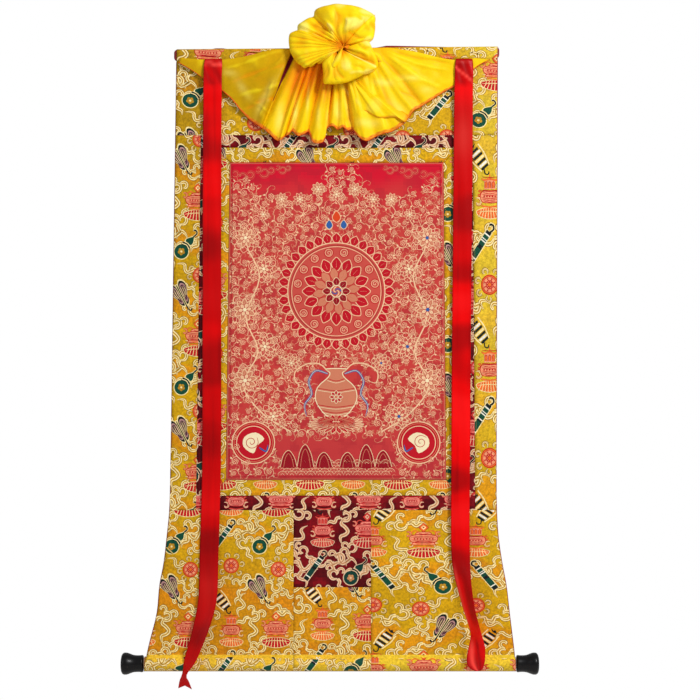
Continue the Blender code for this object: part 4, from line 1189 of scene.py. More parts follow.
def makePainting():
    left, right = seam("inner_left", half), seam("inner_right", -half)
    top, bottom = fixed(mount["head"] - half), fixed(mount["foot"] + half)
    front, back, x, z = panelBody(left, right, top, bottom)
    faces = clothFaces(*x.shape)
    tints = faceTones(paintingTone, x, z)
    backing = [tone("d8c7a4")] * (len(faces) - len(tints))
    canvas = clothMaterial("canvas", None, {"rough": 0.62, "threads": 1500.0, "bump": 0.2, "sheen": 0.05,
                                            "uneven": 0.05,
                                                   "shade": 0.1})
    cloth = addPiece("paintedCotton", np.vstack([front.reshape(-1, 3), back.reshape(-1, 3)]), faces, canvas, True,
                     tints + backing)
    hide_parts("painting")
    # leafy sprays over the free ground, then the larger motifs over them
    w, h = painting["width"], painting["height"]
    ground = bpy.data.meshes.new("paintingGround")
    step = 12.0
    verts, quads = [], []
    for i in range(int(h / step) - 1):
        for j in range(int(w / step) - 1):
            px, py = -w / 2 + step * (j + 0.8), -h / 2 + step * (i + 0.8)
            if math.hypot(px, py - 62) < 112 or (abs(px) < 46 and -200 < py < -92) or (abs(px) < 118 and py < -240):
                continue
            if math.hypot(abs(px) - 168, py + 250) < 40 or (py > 262 + 26 * math.cos(px / 34) and abs(px) > 30):
                continue
            n = len(verts)
            verts += [(px, py, 0), (px + step, py, 0), (px + step, py + step, 0), (px, py + step, 0)]
            quads.append((n, n + 1, n + 2, n + 3))
    ground.from_pydata(verts, [], quads)
    holder = bpy.data.objects.new("ground", ground)
    sprayObject = bpy.data.objects.new("spray", drawingMesh(leafSpray(), "spray"))
    for obj in (holder, sprayObject):
        bpy.context.scene.collection.objects.link(obj)
    pigment = clothMaterial("goldPaint", None, {"rough": 0.5, "threads": 1500.0, "bump": 0.2, "sheen": 0.0,
                                                "shade": 0.12})
    made = bakeModifier(holder, scatterTree(), {"Piece": sprayObject, "Spacing": painting["spacing"], "Density": 0.02,
                                                "Seed": painting["seed"], "Material": pigment})
    scattered = meshArrays(made)
    bpy.data.objects.remove(sprayObject, do_unlink=True)
    design = meshArrays(drawingMesh(paintedDesign(), "design"))
    points = np.vstack([scattered[0], design[0]])
    tris = np.vstack([scattered[1], design[1] + len(scattered[0])])
    threads = np.concatenate([scattered[2], design[2]])
    cuts = [((w / 2 - 1.5, 0), (1, 0)), ((1.5 - w / 2, 0), (-1, 0)), ((0, h / 2 - 1.5), (0, 1)),
            ((0, 1.5 - h / 2), (0, -1))]
    points, tris, threads = splitLong(*cutToShape(points, tris, threads, cuts))
    zs = (mount["head"] + mount["foot"]) / 2 + points[:, 1]
    xl, xr = seamX("inner_left", zs), seamX("inner_right", zs)
    xs = (xl + xr) / 2 + points[:, 0] * (xr - xl) / w
    ys = frontY(xs, zs) - painting["lift"] - painting["step"] * points[:, 2]
    colours = namedThreads(painting["paints"])[threads]
    art = addPiece("paintedDesign", np.stack([xs, ys, zs], 1), tris.tolist(), pigment, False, colours, closed=False)
    print("painting has", len(tris), "painted faces")


makePainting()


veil = {
    # painted highlights on the silk: x, z, width, height, lean, amount
    "sheen": [
        (-118, -134, 7, 24, 0.12, 0.75), (-86, -128, 5, 28, 0.1, 0.7), (-38, -132, 4, 22, 0, 0.5),
        (1, -118, 6, 20, 0, 0.65),
        (62, -144, 20, 8, -0.3, 0.6), (-150, -96, 8, 34, 0.5, 0.35), (-196, -70, 9, 22, -0.6, 0.3),
        (32, -92, 5, 22, -0.9, 0.5),
        (96, -62, 20, 7, -0.5, 0.45), (150, -52, 24, 6, -0.3, 0.4), (124, -112, 12, 14, -0.8, 0.35),
        (-60, -98, 2.5, 30, 0.05, 0.5),
        (-20, -140, 3, 18, 0, 0.35), (18, -108, 3, 22, -0.2, 0.4), (186, -76, 16, 8, -0.4, 0.3),
        (-222, -40, 14, 7, -0.5, 0.3)],
    "cloth": 1.0, "rows": 66, "perFold": 5,
    "tones": {"yellow": tone("fbd00a"), "bright": tone("ffe61c"), "light": tone("fff27a"), "orange": tone("ef9206"),
              "deep": tone("dc5204"),
              "olive": tone("c69a04"), "hem": tone("df5a12"), "hemLight": tone("f6b43a"),
              "shadowRed": tone("640016")},
    # folds from left to right: top x, top z, hem x, hem z, distance in front at the top, half way, at the hem
    "folds": [
        (-321.8, -8.8, -325.9, -19.1, 9.6, 9.4, 9.2), (-303.2, -10.8, -299.1, -34.5, 9.8, 9.4, 8.6),
        (-282.6, -12.5, -274.4, -52.0, 10.0, 9.5, 8.2), (-257.9, -13.3, -253.8, -65.4, 10.0, 9.6, 8.2),
        (-235.3, -12.9, -235.0, -77.8, 10.0, 10.8, 8.4), (-212.6, -10.4, -216.0, -95.0, 10.6, 12.0, 9.0),
        (-190.0, -6.7, -201.0, -114.0, 11.5, 13.0, 9.5), (-169.0, -1.8, -189.0, -127.0, 12.5, 15.0, 9.8),
        (-150.0, 3.0, -178.0, -137.5, 14.0, 18.0, 10.5), (-133.0, 6.5, -167.0, -145.0, 15.0, 20.0, 12.0),
        (-118.0, 7.7, -163.0, -148.5, 16.0, 21.5, 14.0), (-104.0, 7.7, -159.0, -151.0, 17.0, 22.5, 15.5),
        (-94.0, 6.0, -157.0, -152.5, 17.0, 20.0, 14.0), (-89.0, 4.0, -155.0, -153.5, 13.0, 9.5, 8.5),
        (-82.0, 2.0, -152.0, -155.5, 14.0, 10.0, 9.0), (-74.0, 0.0, -143.0, -162.5, 22.0, 21.0, 17.0),
        (-62.0, -2.0, -126.0, -178.5, 20.0, 15.0, 12.5), (-56.0, -3.0, -117.0, -180.5, 24.0, 23.0, 18.5),
        (-50.0, -4.0, -108.0, -172.0, 20.0, 14.0, 11.0), (-44.0, -5.0, -100.0, -168.0, 24.0, 22.0, 16.5),
        (-38.0, -6.0, -92.0, -160.0, 19.0, 12.0, 9.0), (-32.0, -7.0, -80.0, -171.0, 25.0, 25.0, 20.0),
        (-26.0, -8.0, -67.0, -166.0, 22.0, 18.0, 14.0), (-21.0, -9.0, -58.0, -162.0, 20.0, 13.0, 9.5),
        (-15.0, -9.0, -50.0, -183.0, 26.0, 27.0, 22.0), (-10.0, -9.0, -38.0, -187.0, 25.0, 24.0, 21.5),
        (-5.0, -8.0, -26.0, -180.0, 25.0, 25.0, 19.0), (-2.0, -6.0, -21.0, -155.0, 20.0, 12.5, 9.5),
        (1.0, -5.0, -8.6, -151.0, 25.0, 23.0, 18.0), (4.0, -4.0, 1.6, -157.5, 21.0, 16.0, 12.0),
        (7.0, -3.0, 12.0, -153.0, 24.0, 22.5, 17.5), (10.0, -2.0, 22.0, -159.0, 20.0, 14.5, 11.0),
        (13.0, -1.0, 32.5, -157.0, 20.0, 13.5, 9.8), (16.0, 0.0, 43.0, -171.5, 24.0, 24.0, 18.0),
        (20.0, 1.0, 59.5, -182.0, 23.0, 26.0, 20.0), (25.0, 2.0, 79.0, -172.5, 20.0, 20.5, 14.5),
        (31.0, 3.0, 96.0, -166.0, 21.0, 25.0, 18.0), (38.0, 4.5, 113.0, -161.5, 18.0, 19.0, 13.0),
        (46.0, 6.0, 130.0, -151.0, 18.0, 23.5, 16.0), (56.0, 8.0, 146.0, -135.0, 15.5, 17.5, 12.0),
        (68.0, 9.5, 157.5, -119.0, 15.5, 20.0, 13.0), (83.0, 10.6, 170.0, -111.5, 13.5, 15.5, 10.5),
        (100.0, 10.8, 188.0, -100.0, 13.5, 18.0, 11.0), (122.0, 9.0, 207.0, -87.5, 12.2, 14.0, 9.6),
        (148.0, 5.2, 226.5, -75.5, 11.6, 12.5, 9.0), (177.0, -0.5, 243.0, -66.5, 10.6, 10.6, 8.6),
        (199.5, -6.5, 265.5, -47.0, 10.2, 10.0, 8.4), (222.0, -11.5, 288.0, -27.5, 10.0, 9.8, 8.8),
        (244.5, -13.9, 303.0, -18.0, 10.0, 9.8, 9.2), (283.5, -10.0, 313.5, -13.5, 9.8, 9.6, 9.4)],
    # soft creases pressed in by hand: x and z at both ends, height (minus is a trough), width
    "creases": [
        (-235, -30, -110, 2, 2.2, 9), (-220, -62, -104, -20, -2.0, 10), (-200, -90, -110, -60, 2.4, 10),
        (-190, -112, -122, -92, -2.2, 9), (-160, -128, -128, -60, 2.0, 8), (-168, -52, -108, -8, 1.6, 7),
        (-176, -104, -134, -122, 1.8, 7), (90, 4, 228, -38, 2.4, 9), (96, -4, 210, -72, 2.8, 8),
        (88, -10, 178, -104, -2.6, 10),
        (84, -20, 160, -128, 2.6, 8), (78, -28, 128, -150, -2.6, 10), (66, -34, 96, -160, 2.6, 8),
        (110, 6, 236, -26, -1.8, 8),
        (118, -54, 176, -58, 1.5, 8), (130, -76, 168, -100, -1.4, 7)],
    # the rosette: loops of cloth gathered at one point. Each has its root, how far its root and its rim stand in
    # front, how full it is, how many pleats and how deep, and its rim from one side to the other
    "loops": [
        {"root": (14, 8), "out": (26, 15), "puff": 15, "pleats": (3, 1.2),
         "rim": [(96, -26), (88, -5), (70, 5), (60, 22), (70, 50), (73, 64), (78, 79)]},
        {"root": (14, 12), "out": (30, 20), "puff": 27, "pleats": (3, 0.8),
         "rim": [(77, 56), (77.7, 73), (63, 82.5), (48, 90), (32.5, 94.4), (15, 96.5), (-1.9, 98), (-18, 95),
                 (-36, 91), (-45, 85), (-46, 66)]},
        {"root": (12, 10), "out": (33, 19), "puff": 14, "pleats": (4, 2.2),
         "rim": [(-34, 84), (-45.3, 85.2), (-47.8, 74), (-56, 71), (-64.9, 66.2), (-73, 61), (-80.3, 54.3),
                 (-82, 42.2), (-92, 40)]},
        {"root": (16, 12), "out": (36, 30), "puff": 13, "pleats": (2, 1.4),
         "rim": [(70, 12), (66, 18.5), (73.3, 25.2), (77, 40), (77.7, 54.3), (75, 71.6), (54, 66)]},
        {"root": (15, 6), "out": (35, 30), "puff": 16, "pleats": (2, 1.0),
         "rim": [(48, -46), (60, -46), (79.9, -36), (83.6, -25.9), (78.5, -8.8), (69, 11.8), (64.9, 18.4), (50, 20)]},
        {"root": (10, 0), "out": (46, 44), "puff": 11, "pleats": (2, 1.0), "tuck": 0.35,
         "rim": [(-20, -56), (-10, -62), (2, -66), (15, -66.4), (32.5, -60.3), (58, -47.5), (78.5, -36.5),
                 (80, -32)]},
        {"root": (-2, -2), "out": (44, 42), "puff": 11, "pleats": (3, 1.6),
         "rim": [(10, -40), (16, -64), (-2, -68.5), (-15.5, -68.5), (-26.6, -66.8), (-28, -44), (-29.3, -24.2),
                 (-24, -18)]},
        {"root": (14, 7), "out": (42, 30), "puff": 11, "pleats": (15, 1.9),
         "rim": [(-16, -12), (-29, -22), (-36, -25), (-43.7, -22.6), (-52.9, -31), (-60, -30.5), (-66.7, -33.5),
                 (-74, -28), (-80.8, -24.2),
                 (-87, -16), (-92.3, -7.1), (-96, 1), (-97.2, 8.1), (-98.5, 22), (-96.6, 35.5), (-88, 41), (-79, 43),
                 (-60, 44)]},
        {"root": (12, 6), "out": (54, 52), "puff": 4, "pleats": (1, 1.0), "tuck": 0.5,
         "rim": [(-13, -32), (-7, -37), (0, -33), (7, -20), (9, -9)]},
        {"root": (14, 6), "out": (26, 24), "puff": 3, "pleats": (7, 1.2),
         "rim": [(28, 6), (24, 16), (14, 20), (4, 16), (0, 6), (4, -4), (14, -8), (24, -4), (28, 6)]},
        {"root": (18, -40), "out": (24, 20), "puff": 3.5, "pleats": (3, 1.6), "hem": True,
         "rim": [(34, -158), (46, -128), (60, -121), (74, -129), (88, -135), (106, -133), (123, -134), (140, -142),
                 (146, -128)]},
    ],
    # soft creases over the rosette, given in the same way
    "petalCreases": [
        (17, 8, -56, 33, -6, 7), (20, 36, 18, 67, 4.5, 10), (20, 36, 53, 62, 4.0, 8), (18, 68, 54, 62, -3.0, 7),
        (-19, 54, -4, 18, 4.0, 9),
        (-6, 84, 4, 30, -3.0, 10), (20, 76, 72, 72, -2.4, 8), (20, 34, 57, 26, -4.5, 7), (60, 62, 74, 34, 2.6, 8),
        (-60, 60, -20, 40, -3.0, 7),
        (-46, 80, -12, 40, 3.0, 8), (24, 4, 66, -10, 3.0, 9), (22, -4, 76, -30, -3.5, 8), (40, 12, 68, 2, -2.0, 6),
        (26, -52, 78, -38, 3.0, 9), (30, -30, 56, -44, -3.0, 8), (-4, -30, 12, -60, -3.0, 8),
        (-14, -24, -16, -62, 2.6, 8)],
}


def gridNormals(points):
    down, right = np.gradient(points, axis=0), np.gradient(points, axis=1)
    normal = np.cross(right, down)
    return normal / np.maximum(np.linalg.norm(normal, axis=2, keepdims=True), 1e-9)


def clothGrid(points, thickness, tints):
    # verts, faces and a colour for each vertex of a thin closed cloth whose middle is points
    normal = gridNormals(points) * thickness / 2
    verts = np.vstack([(points - normal).reshape(-1, 3), (points + normal).reshape(-1, 3)])
    rows, columns = points.shape[:2]
    each = tints.reshape(-1, 3)
    return verts, clothFaces(rows, columns), np.vstack([each, each])


def creaseAt(x, z, creases):
    total = np.zeros_like(x)
    for x0, z0, x1, z1, height, width in creases:
        dx, dz = x1 - x0, z1 - z0
        size = math.hypot(dx, dz)
        along = ((x - x0) * dx + (z - z0) * dz) / size**2
        off = ((x - x0) * dz - (z - z0) * dx) / size
        off = off + 3.0 * np.sin(along * 5.0 + x0)
        total += height * np.exp(-(off / width * 2.2) ** 2) * ease(-0.12, 0.15, along) * ease(1.12, 0.85, along)
    return total


def noiseGrid(x, y, z, scale):
    x, y, z = np.broadcast_arrays(x, y, z)
    out = np.empty(x.shape)
    for i in np.ndindex(x.shape):
        out[i] = noise.noise((x[i] * scale, y[i] * scale, z[i] * scale))
    return out


def dyeWithPaintedLight(shape, tones, first, layers):
    # a first colour over the whole cloth, then each layer's colour by its share; the layers hold dye and also painted
    # highlights and painted shade
    base = np.zeros(shape + (3,)) + np.array(tones[first])
    for name, share in layers:
        share = np.clip(share, 0, 1)[..., None]
        base = base * (1 - share) + np.array(tones[name]) * share
    return base


def veilSwag():
    folds = veil["folds"]
    keyed = [(n, *fold) for n, fold in enumerate(folds)]
    place = np.linspace(0, len(folds) - 1, (len(folds) - 1) * veil["perFold"] + 1)
    topX, topZ, hemX, hemZ, outTop, outMiddle, outHem = (curveThrough(keyed, c, place)[None, :] for c in range(1, 8))
    t = np.linspace(0, 1, veil["rows"])[:, None]
    out = outTop * (1 - t) * (1 - 2 * t) + 4 * outMiddle * t * (1 - t) + outHem * t * (2 * t - 1)
    x = topX + (hemX - topX) * t ** 0.92
    z = topZ + (hemZ - topZ) * t
    middle = ease(13.2, 14.4, place)[None, :] * ease(36.5, 33.5, place)[None, :]
    # fine pleats below the rosette, softer ones beside it
    ripple = np.sin(place[None, :] * 4.1 + 0.8 * np.sin(t * 3)) * (0.5 + t) * middle * 0.6
    crumple = noiseGrid(x, 3, z, 0.030) * 2.6 + noiseGrid(x, 8, z, 0.075)
    edge = ease(0.0, 0.12, t)
    crease = creaseAt(x, z, veil["creases"]) * (1 - 0.75 * middle)
    near = ease(-245, -215, x) * ease(262, 238, x)
    frill = np.sin(place[None, :] * 8.2) * 1.6 * ease(0.86, 1.0, t) * middle
    out = out + edge * near * (ripple + crease + crumple * (0.45 + 0.55 * (1 - middle))) + frill
    out = np.maximum(out, 8.2 - 0.6 * ease(0.2, 0.9, t))
    points = np.stack([x, -out, z], -1)
    # dye and painted light: painted shade as deeper orange in the hollows, under the rosette and near the gather;
    # olive at the left, where the brocade shows through and the swag lies in painted shade; painted highlights as
    # brighter yellow on the raised creases and over the right
    local = out - (outTop * (1 - t) + outHem * t)
    across = place[None, :]
    under = ease(0.68, 0.2, t) * ease(31, 25, across) * ease(13.8, 16, across)
    streak = 0.6 + 0.4 * np.sin(across * fullTurn + 2.0) * ease(0.1, 0.4, t)
    slit = np.exp(-((across - 13.3) / (0.2 + 0.6 * ease(0.6, 0.15, t))) ** 4) * ease(0.68, 0.6, t)
    layers = [
        ("olive", ease(13.8, 12.6, across) * (0.8 + 0.2 * ease(0.0, 0.5, t))),
        ("bright", 0.15 * ease(80, 130, x) * ease(-0.4, 0.5, noiseGrid(x, 0, z, 0.022))),
        ("olive", 0.16 * ease(60, 150, x)),
        ("bright", 0.55 * ease(0.5, 3.5, crease + crumple)), ("orange", 0.75 * middle * ease(0.5, -3.0, local)),
        ("orange", 0.5 * ease(0.0, -2.5, crease + 0.5 * crumple) * (1 - middle)), ("orange", 0.9 * under),
        ("deep", 0.85 * under * streak), ("orange", 0.5 * ease(0.3, 0.0, t) * ease(170, 60, np.abs(x))),
        ("shadowRed", 1.6 * slit)]  # the split between the left swag and the pleats
    # painted highlight patches where the silk catches the light
    for px, pz, wide, tall, lean, amount in veil["sheen"]:
        away = ((x - px - lean * (z - pz)) / wide) ** 2 + ((z - pz) / tall) ** 2
        layers.append(("light", amount * np.exp(-away) * (0.75 + 0.5 * noiseGrid(x, 17, z, 0.06))))
    band = ease(0.955, 0.965, t)
    twill = 0.5 + 0.5 * np.sin(across * 24.0 + t * 260.0)
    layers += [("hem", band * (0.55 + 0.45 * twill)), ("hemLight", band * (1 - twill) * 0.5)]
    return points, dyeWithPaintedLight(out.shape, veil["tones"], "yellow", layers)


def rosetteLoop(loop, seed):
    # cloth from the root out to the rim, where it rolls back under itself
    rim = np.array(loop["rim"], float)
    steps = np.concatenate([[0], np.cumsum(np.hypot(*np.diff(rim, axis=0).T))])
    share = np.linspace(0, 1, max(26, int(steps[-1] / 3.0)))
    flatTuck = loop.get("tuck", 1.0)
    keyed = [(s / steps[-1], *point) for s, point in zip(steps, rim)]
    rimX, rimZ = curveThrough(keyed, 1, share)[None, :], curveThrough(keyed, 2, share)[None, :]
    u = np.linspace(0, 1, 34)[:, None]
    rows = [(0.0, -0.12, -0.3, 0.0), (0.15, 0.1, 0.3, 0.1), (0.35, 0.38, 0.78, 0.3), (0.6, 0.7, 1.0, 0.6),
            (0.78, 0.92, 0.86, 0.85), (0.88, 0.99, 0.4, 0.97), (0.95, 0.995, -0.1, 1.05), (1.0, 0.95, -0.45, 1.1)]
    reach, full, drop = (curveThrough(rows, c, u) for c in (1, 2, 3))
    rootX, rootZ = loop["root"]
    count, depth = loop["pleats"]
    side = np.abs(2 * share - 1)[None, :]
    tuck = side ** 5
    x = rootX + (rimX - rootX) * reach
    z = rootZ + (rimZ - rootZ) * reach
    bend = 0.35 * np.sin(share * 5 + seed)[None, :] * u
    shift = 0.022 * np.sin(share * 15 + seed)[None, :] + 0.014 * np.sin(share * 37 + 2 * seed)[None, :]
    fold = np.sin((share[None, :] + 0.02 * bend + shift) * 2 * math.pi * count + seed * 1.7 + 1.3 * bend)
    ridge = fold * depth * ease(0.0, 0.3, u) * ease(1.0, 0.86, u) * (1 - tuck)
    crumple = noiseGrid(x, u * 9 + seed * 7, z, 0.03) + creaseAt(x, z, veil["petalCreases"]) / 6.5
    facet = 1 - 3.0 * np.abs(noiseGrid(x, seed * 5 + 21, z * 0.8, 0.021))
    thick = min(1.0, loop["puff"] / 14)
    rootOut, rimOut = loop["out"]
    uneven = (crumple * 6.5 + facet * 2.6) * thick * ease(0.1, 0.4, u) * ease(1.0, 0.8, u)
    out = (rootOut + (rimOut - rootOut) * drop + loop["puff"] * full * (1 - 0.75 * tuck * flatTuck)
           - 6.0 * flatTuck * tuck * ease(0.1, 0.4, u) + ridge + uneven)
    points = np.stack([x, -out, z], -1)
    # painted light: painted highlights on the raised facets, pleat tops and crumples and along the tucked edge;
    # painted shade as orange in the pleat troughs, near the root, in the hollows and where the sides tuck under
    layers = [
        ("bright", 0.6 * ease(-0.2, 0.9, facet) * thick + 0.35 * ease(0.2, 1.0, fold) * ease(0.2, 0.5, u)),
        ("light", 0.7 * ease(0.15, 0.6, crumple) * thick * ease(0.2, 0.5, u))]
    if count > 9:
        layers.append(("orange", 0.45 * ease(0.0, -1.0, fold) * ease(0.02, 0.2, u) * ease(1.0, 0.6, u)))
    layers += [("orange", 0.6 * ease(0.36, 0.12, u)), ("deep", 0.6 * ease(0.24, 0.1, u)),
               ("orange", 0.65 * ease(-0.1, -0.6, crumple) * thick), ("orange", 0.6 * flatTuck * tuck)]
    if flatTuck < 1:
        layers.append(("light", 0.8 * ease(0.93, 0.99, share)[None, :] * ease(0.1, 0.3, u)))
    if loop.get("hem"):
        layers.append(("hem", 0.55 * ease(0.83, 0.86, u)))
    return points, dyeWithPaintedLight(out.shape, veil["tones"], "yellow", layers)


def makeVeil():
    swag, swagTones = veilSwag()
    verts, faces, tints = [], [], []
    loops = [rosetteLoop(loop, n) for n, loop in enumerate(veil["loops"])]
    for points, shade in [(swag, swagTones)] + loops:
        v, f, c = clothGrid(points, veil["cloth"], shade)
        start = sum(len(part) for part in verts)
        faces += [tuple(i + start for i in face) for face in f]
        verts.append(v)
        tints.append(c)
    silk = clothMaterial("veilSilk", None, {"rough": 0.42, "threads": 2200.0, "bump": 0.12, "sheen": 0.0,
                                            "shade": 0.05,
                                            "uneven": 0.05, "slub": 0.7, "mottle": 0.06, "specular": 0.08})
    cloth = addPiece("silkVeil", np.vstack(verts), faces, silk, True, np.vstack(tints))
    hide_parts("veil")
    print("veil area m2", round(sum(p.area for p in cloth.data.polygons) / 2, 4))
    return cloth, swag


veilCloth, veilSwagPoints = makeVeil()


ribbons = {
    "cloth": 0.9, "across": 15, "rows": 210,
    "tones": {"red": tone("e80002"), "dark": tone("980104"), "bright": tone("fc1416"), "paintedHighlight": tone("ff4a40")},
    # painted highlight band on each ribbon: depth of its middle, amount
    "shine": {"ribbonLeft": (1100.0, 0.22), "ribbonRight": (170.0, 0.55)},
    # middle x, z, width, distance in front of the mount, turn in degrees
    "left": [
        (-253.8, -12.2, 35, 13.6, 0), (-254.8, -24, 38, 14.2, 3), (-255.5, -45, 38, 14.2, 0),
        (-255.8, -80, 38, 14.0, 0),
        (-256.4, -112, 38, 9.5, 2), (-257.0, -192, 38, 7.8, 0), (-257.5, -330, 38.5, 7.6, -2),
        (-257.6, -470, 38.5, 7.8, 2),
        (-257.8, -620, 39, 7.6, 0), (-257.9, -760, 39, 7.8, -2), (-258.5, -858, 39, 8.4, 3),
        (-261.0, -960, 39.5, 10.0, 8),
        (-263.0, -1030, 41, 13.0, 15), (-265.5, -1117, 41, 17.0, 18), (-276.5, -1172, 40, 21.0, 28),
        (-291.0, -1218, 37, 25.5, 37), (-301.5, -1247, 33, 28.5, 42), (-312.0, -1273, 19, 29.0, 58),
        (-312.5, -1288, 24, 26.0, 32), (-311.5, -1304, 30, 22.5, 18)],
    "right": [
        (261.0, -11.9, 34, 13.6, 0), (260.8, -24, 37, 14.2, -3), (260.6, -45, 38, 14.4, 2), (260.0, -66, 38, 14.0, 0),
        (259.8, -100, 38.5, 10.0, 0), (259.2, -192, 39, 7.8, 2), (258.0, -330, 39, 7.6, 0),
        (256.6, -480, 39, 7.8, -2),
        (255.2, -640, 39, 7.6, 0), (254.4, -780, 39, 7.8, 2), (253.8, -880, 38.5, 8.4, 0),
        (253.2, -960, 38.5, 10.0, 4),
        (253.8, -1030, 38.5, 14.0, 14), (257.0, -1072, 38.5, 20.0, 32), (263.0, -1108, 38, 25.5, 46),
        (269.5, -1138, 38, 28.5, 53), (275.6, -1160, 38, 29.5, 56), (281.0, -1178, 38, 30.0, 58),
        (285.2, -1195, 38, 30.5, 56), (286.0, -1216, 38, 31.0, 36), (284.0, -1236, 38, 31.0, 14),
        (283.5, -1252, 36, 30.5, -10),
        (286.0, -1262, 26, 30.0, -24), (288.5, -1266, 14, 29.5, -30)],
}


def makeRibbon(name, table, notch, node, seed):
    keyed = [(n, *row) for n, row in enumerate(table)]
    last = len(table) - 1
    fine = np.linspace(0, last, 2000)
    along = np.concatenate([[0],
                            np.cumsum(np.hypot(np.diff(curveThrough(keyed, 1, fine)),
                                               np.diff(curveThrough(keyed, 2, fine))))])
    place = np.interp(np.linspace(0, along[-1], ribbons["rows"]), along, fine)
    x, z, width, out, turn = (curveThrough(keyed, c, place)[:, None] for c in range(1, 6))
    s = np.linspace(-1, 1, ribbons["across"])[None, :]
    a = np.radians(turn)
    cup = 0.8 * (1 - s * s) + 0.5 * np.sin(s * 4 + z / 55.0) * (1 - s * s)
    gather = ease(-75, -30, z) * 1.1 * np.sin(s * 7 + z / 9.0) + 0.9 * np.exp(-((z + 22 + 6 * s) / 4.0) ** 2)
    lower = ease(-1000, -1180, z) * 1.2 * np.sin(s * 3.2 + z / 24.0)
    tail = notch * (1 - np.abs(s)) * ease(last - 1.5, last, place)[:, None]
    points = np.stack([x + s * width / 2 * np.cos(a),
                       -out - s * width / 2 * np.sin(a) - cup - gather * 0.6 - lower * 0.5,
                       z + tail], -1)
    wave = noiseGrid(x, s * 8 + seed, z, 0.013)
    streak = noiseGrid(s * 60, seed, z * 0.08, 0.05)
    slow = noiseGrid(x, 4, z + 0 * s, 0.006)
    right = name == "ribbonRight"
    diagonal = (z + 44 + 15 * s) if right else (z + 23 + 2.5 * np.sin(s * 3))
    low, amount = ribbons["shine"][name]
    # painted light on the satin: painted shade over the top and down the lower left ribbon, painted highlights along
    # the top folds and in the shine band; darker and brighter streaks from noise, and darker along both edges
    layers = [
        ("dark", 0.8 * ease(0.0, 0.45, wave) + 0.25 * ease(0.1, 0.5, streak)),
        ("bright", 0.6 * ease(-0.05, -0.5, wave)),
        ("dark", 0.75 * ease(-72, -60, z) * (0.75 + 0.25 * np.sin(s * 5 + z / 6.0))),
        ("paintedHighlight", 0.85 * np.exp(-(diagonal / 3.2) ** 2) * ease(-74, -66, z)),
        ("paintedHighlight", 0.35 * np.exp(-((z + 16) / 2.2) ** 2)),
        ("paintedHighlight", amount * np.exp(-((z + low) / 42.0) ** 2) * (0.6 + 0.4 * np.cos(s * 2.2))),
        ("dark", 0.5 * ease(-60, -120, z) * ease(0.1, -0.3, slow)),
        ("dark", 0.5 * ease(-900, -1040, z) * ease(60, 0, x))]
    # painted shade and painted highlights on the turn and on the free end
    if right:  # where it turns towards its free end
        turning, free = ease(-1040, -1080, z) * ease(-1190, -1150, z), ease(-1196, -1214, z)
        layers += [("dark", 0.75 * turning * ease(-0.5, 0.3, s)), ("paintedHighlight", 0.6 * turning * ease(-0.45, -0.8, s)),
                   ("paintedHighlight", 0.85 * free * np.exp(-((s + 0.45 + (z + 1236) / 110) / 0.26) ** 2)),
                   ("dark", 0.8 * free * np.exp(-((s - 0.25 + (z + 1230) / 90) / 0.16) ** 2))]
    layers.append(("dark", 0.4 * ease(0.93, 1.0, np.abs(s))))
    tints = dyeWithPaintedLight(points.shape[:2], ribbons["tones"], "red", layers)
    satin = bpy.data.materials.get("ribbonSatin") or clothMaterial("ribbonSatin", None, {
        "rough": 0.36, "threads": 2600.0, "bump": 0.08, "sheen": 0.0, "shade": 0.04, "uneven": 0.08, "aniso": 0.5,
        "specular": 0.1})
    verts, faces, tints = clothGrid(points, ribbons["cloth"], tints)
    cloth = addPiece(name, verts, faces, satin, True, tints)
    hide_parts(node)
    return cloth


makeRibbon("ribbonLeft", ribbons["left"], 7.0, "ribbon_left", 2.0)
makeRibbon("ribbonRight", ribbons["right"], 0.0, "ribbon_right", 9.0)


lining = {"cloth": 1.0, "gap": 0.5, "overhang": 1.6, "tone": tone("8a0c16")}


def makeLining():
    above = [(0.1, 11.3), (2.2, 11.3), (3.5, 11.0), (4.4, 10.3), (4.8, 9.2), (4.8, 0), (4.8, -9.2), (4.5, -10.6),
             (2.9, -13.2), (1.0, -16.4)]
    below = arc(mount["sleeve"], 45, 180, 14, 1) + arc(mount["sleeve"], 174, 153, 2, -1)
    columns = 50
    heights = np.linspace(wrapEnd, mount["sleeveTop"], 84)
    s = np.linspace(0, 1, columns)[None, :]
    rows = [p[1] for p in above] + list(heights) + [p[1] for p in below]
    z = np.array(rows)[:, None] + 0 * s
    left, right = edgeLeft(z) - lining["overhang"], edgeRight(z) + lining["overhang"]
    x = left + (right - left) * s
    y = hangY(x, z) + lining["gap"]
    y[:len(above)] = np.array(above)[:, :1]
    y[-len(below):] = np.array(below)[:, :1]
    order = np.arange(len(rows))[:, None]
    pucker = ((order > 0) & (order < 3)) * (4.6 * ease(76, 100, x) * np.clip((262 - x) / 150, 0, 1)
                                            + 2.4 * ease(-262, -250, x) * ease(-225, -238, x))
    ny, nz = sectionNormals(y, z)
    front = np.stack([x, y, lift(x, z) + pucker], -1)
    back = np.stack([x, y - ny * lining["cloth"], lift(x, z) - nz * lining["cloth"] + pucker], -1)
    cloth = addPiece("liningCotton", np.vstack([front.reshape(-1, 3), back.reshape(-1, 3)]), clothFaces(*x.shape),
                     clothMaterial("liningDye", lining["tone"], {"rough": 0.75, "threads": 800.0, "bump": 0.35}))
    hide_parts("lining")


makeLining()

turned = {
    "sides": 64, "radius": 14.5,
    # distance out from the roller's end, radius
    "knob": [(0, 15.2), (0.8, 16.7), (1.5, 17.4), (3, 17.5), (7, 17.0), (12, 16.9), (16, 17.1), (20, 17.6),
             (24, 18.8), (28, 20.4),
             (31, 21.5), (34, 22.3), (37, 22.5), (39.5, 22.4), (41.5, 21.6), (43, 20.2), (44.5, 17.8), (45.3, 14.5),
             (45.4, 8), (45.4, 0.01)],
}


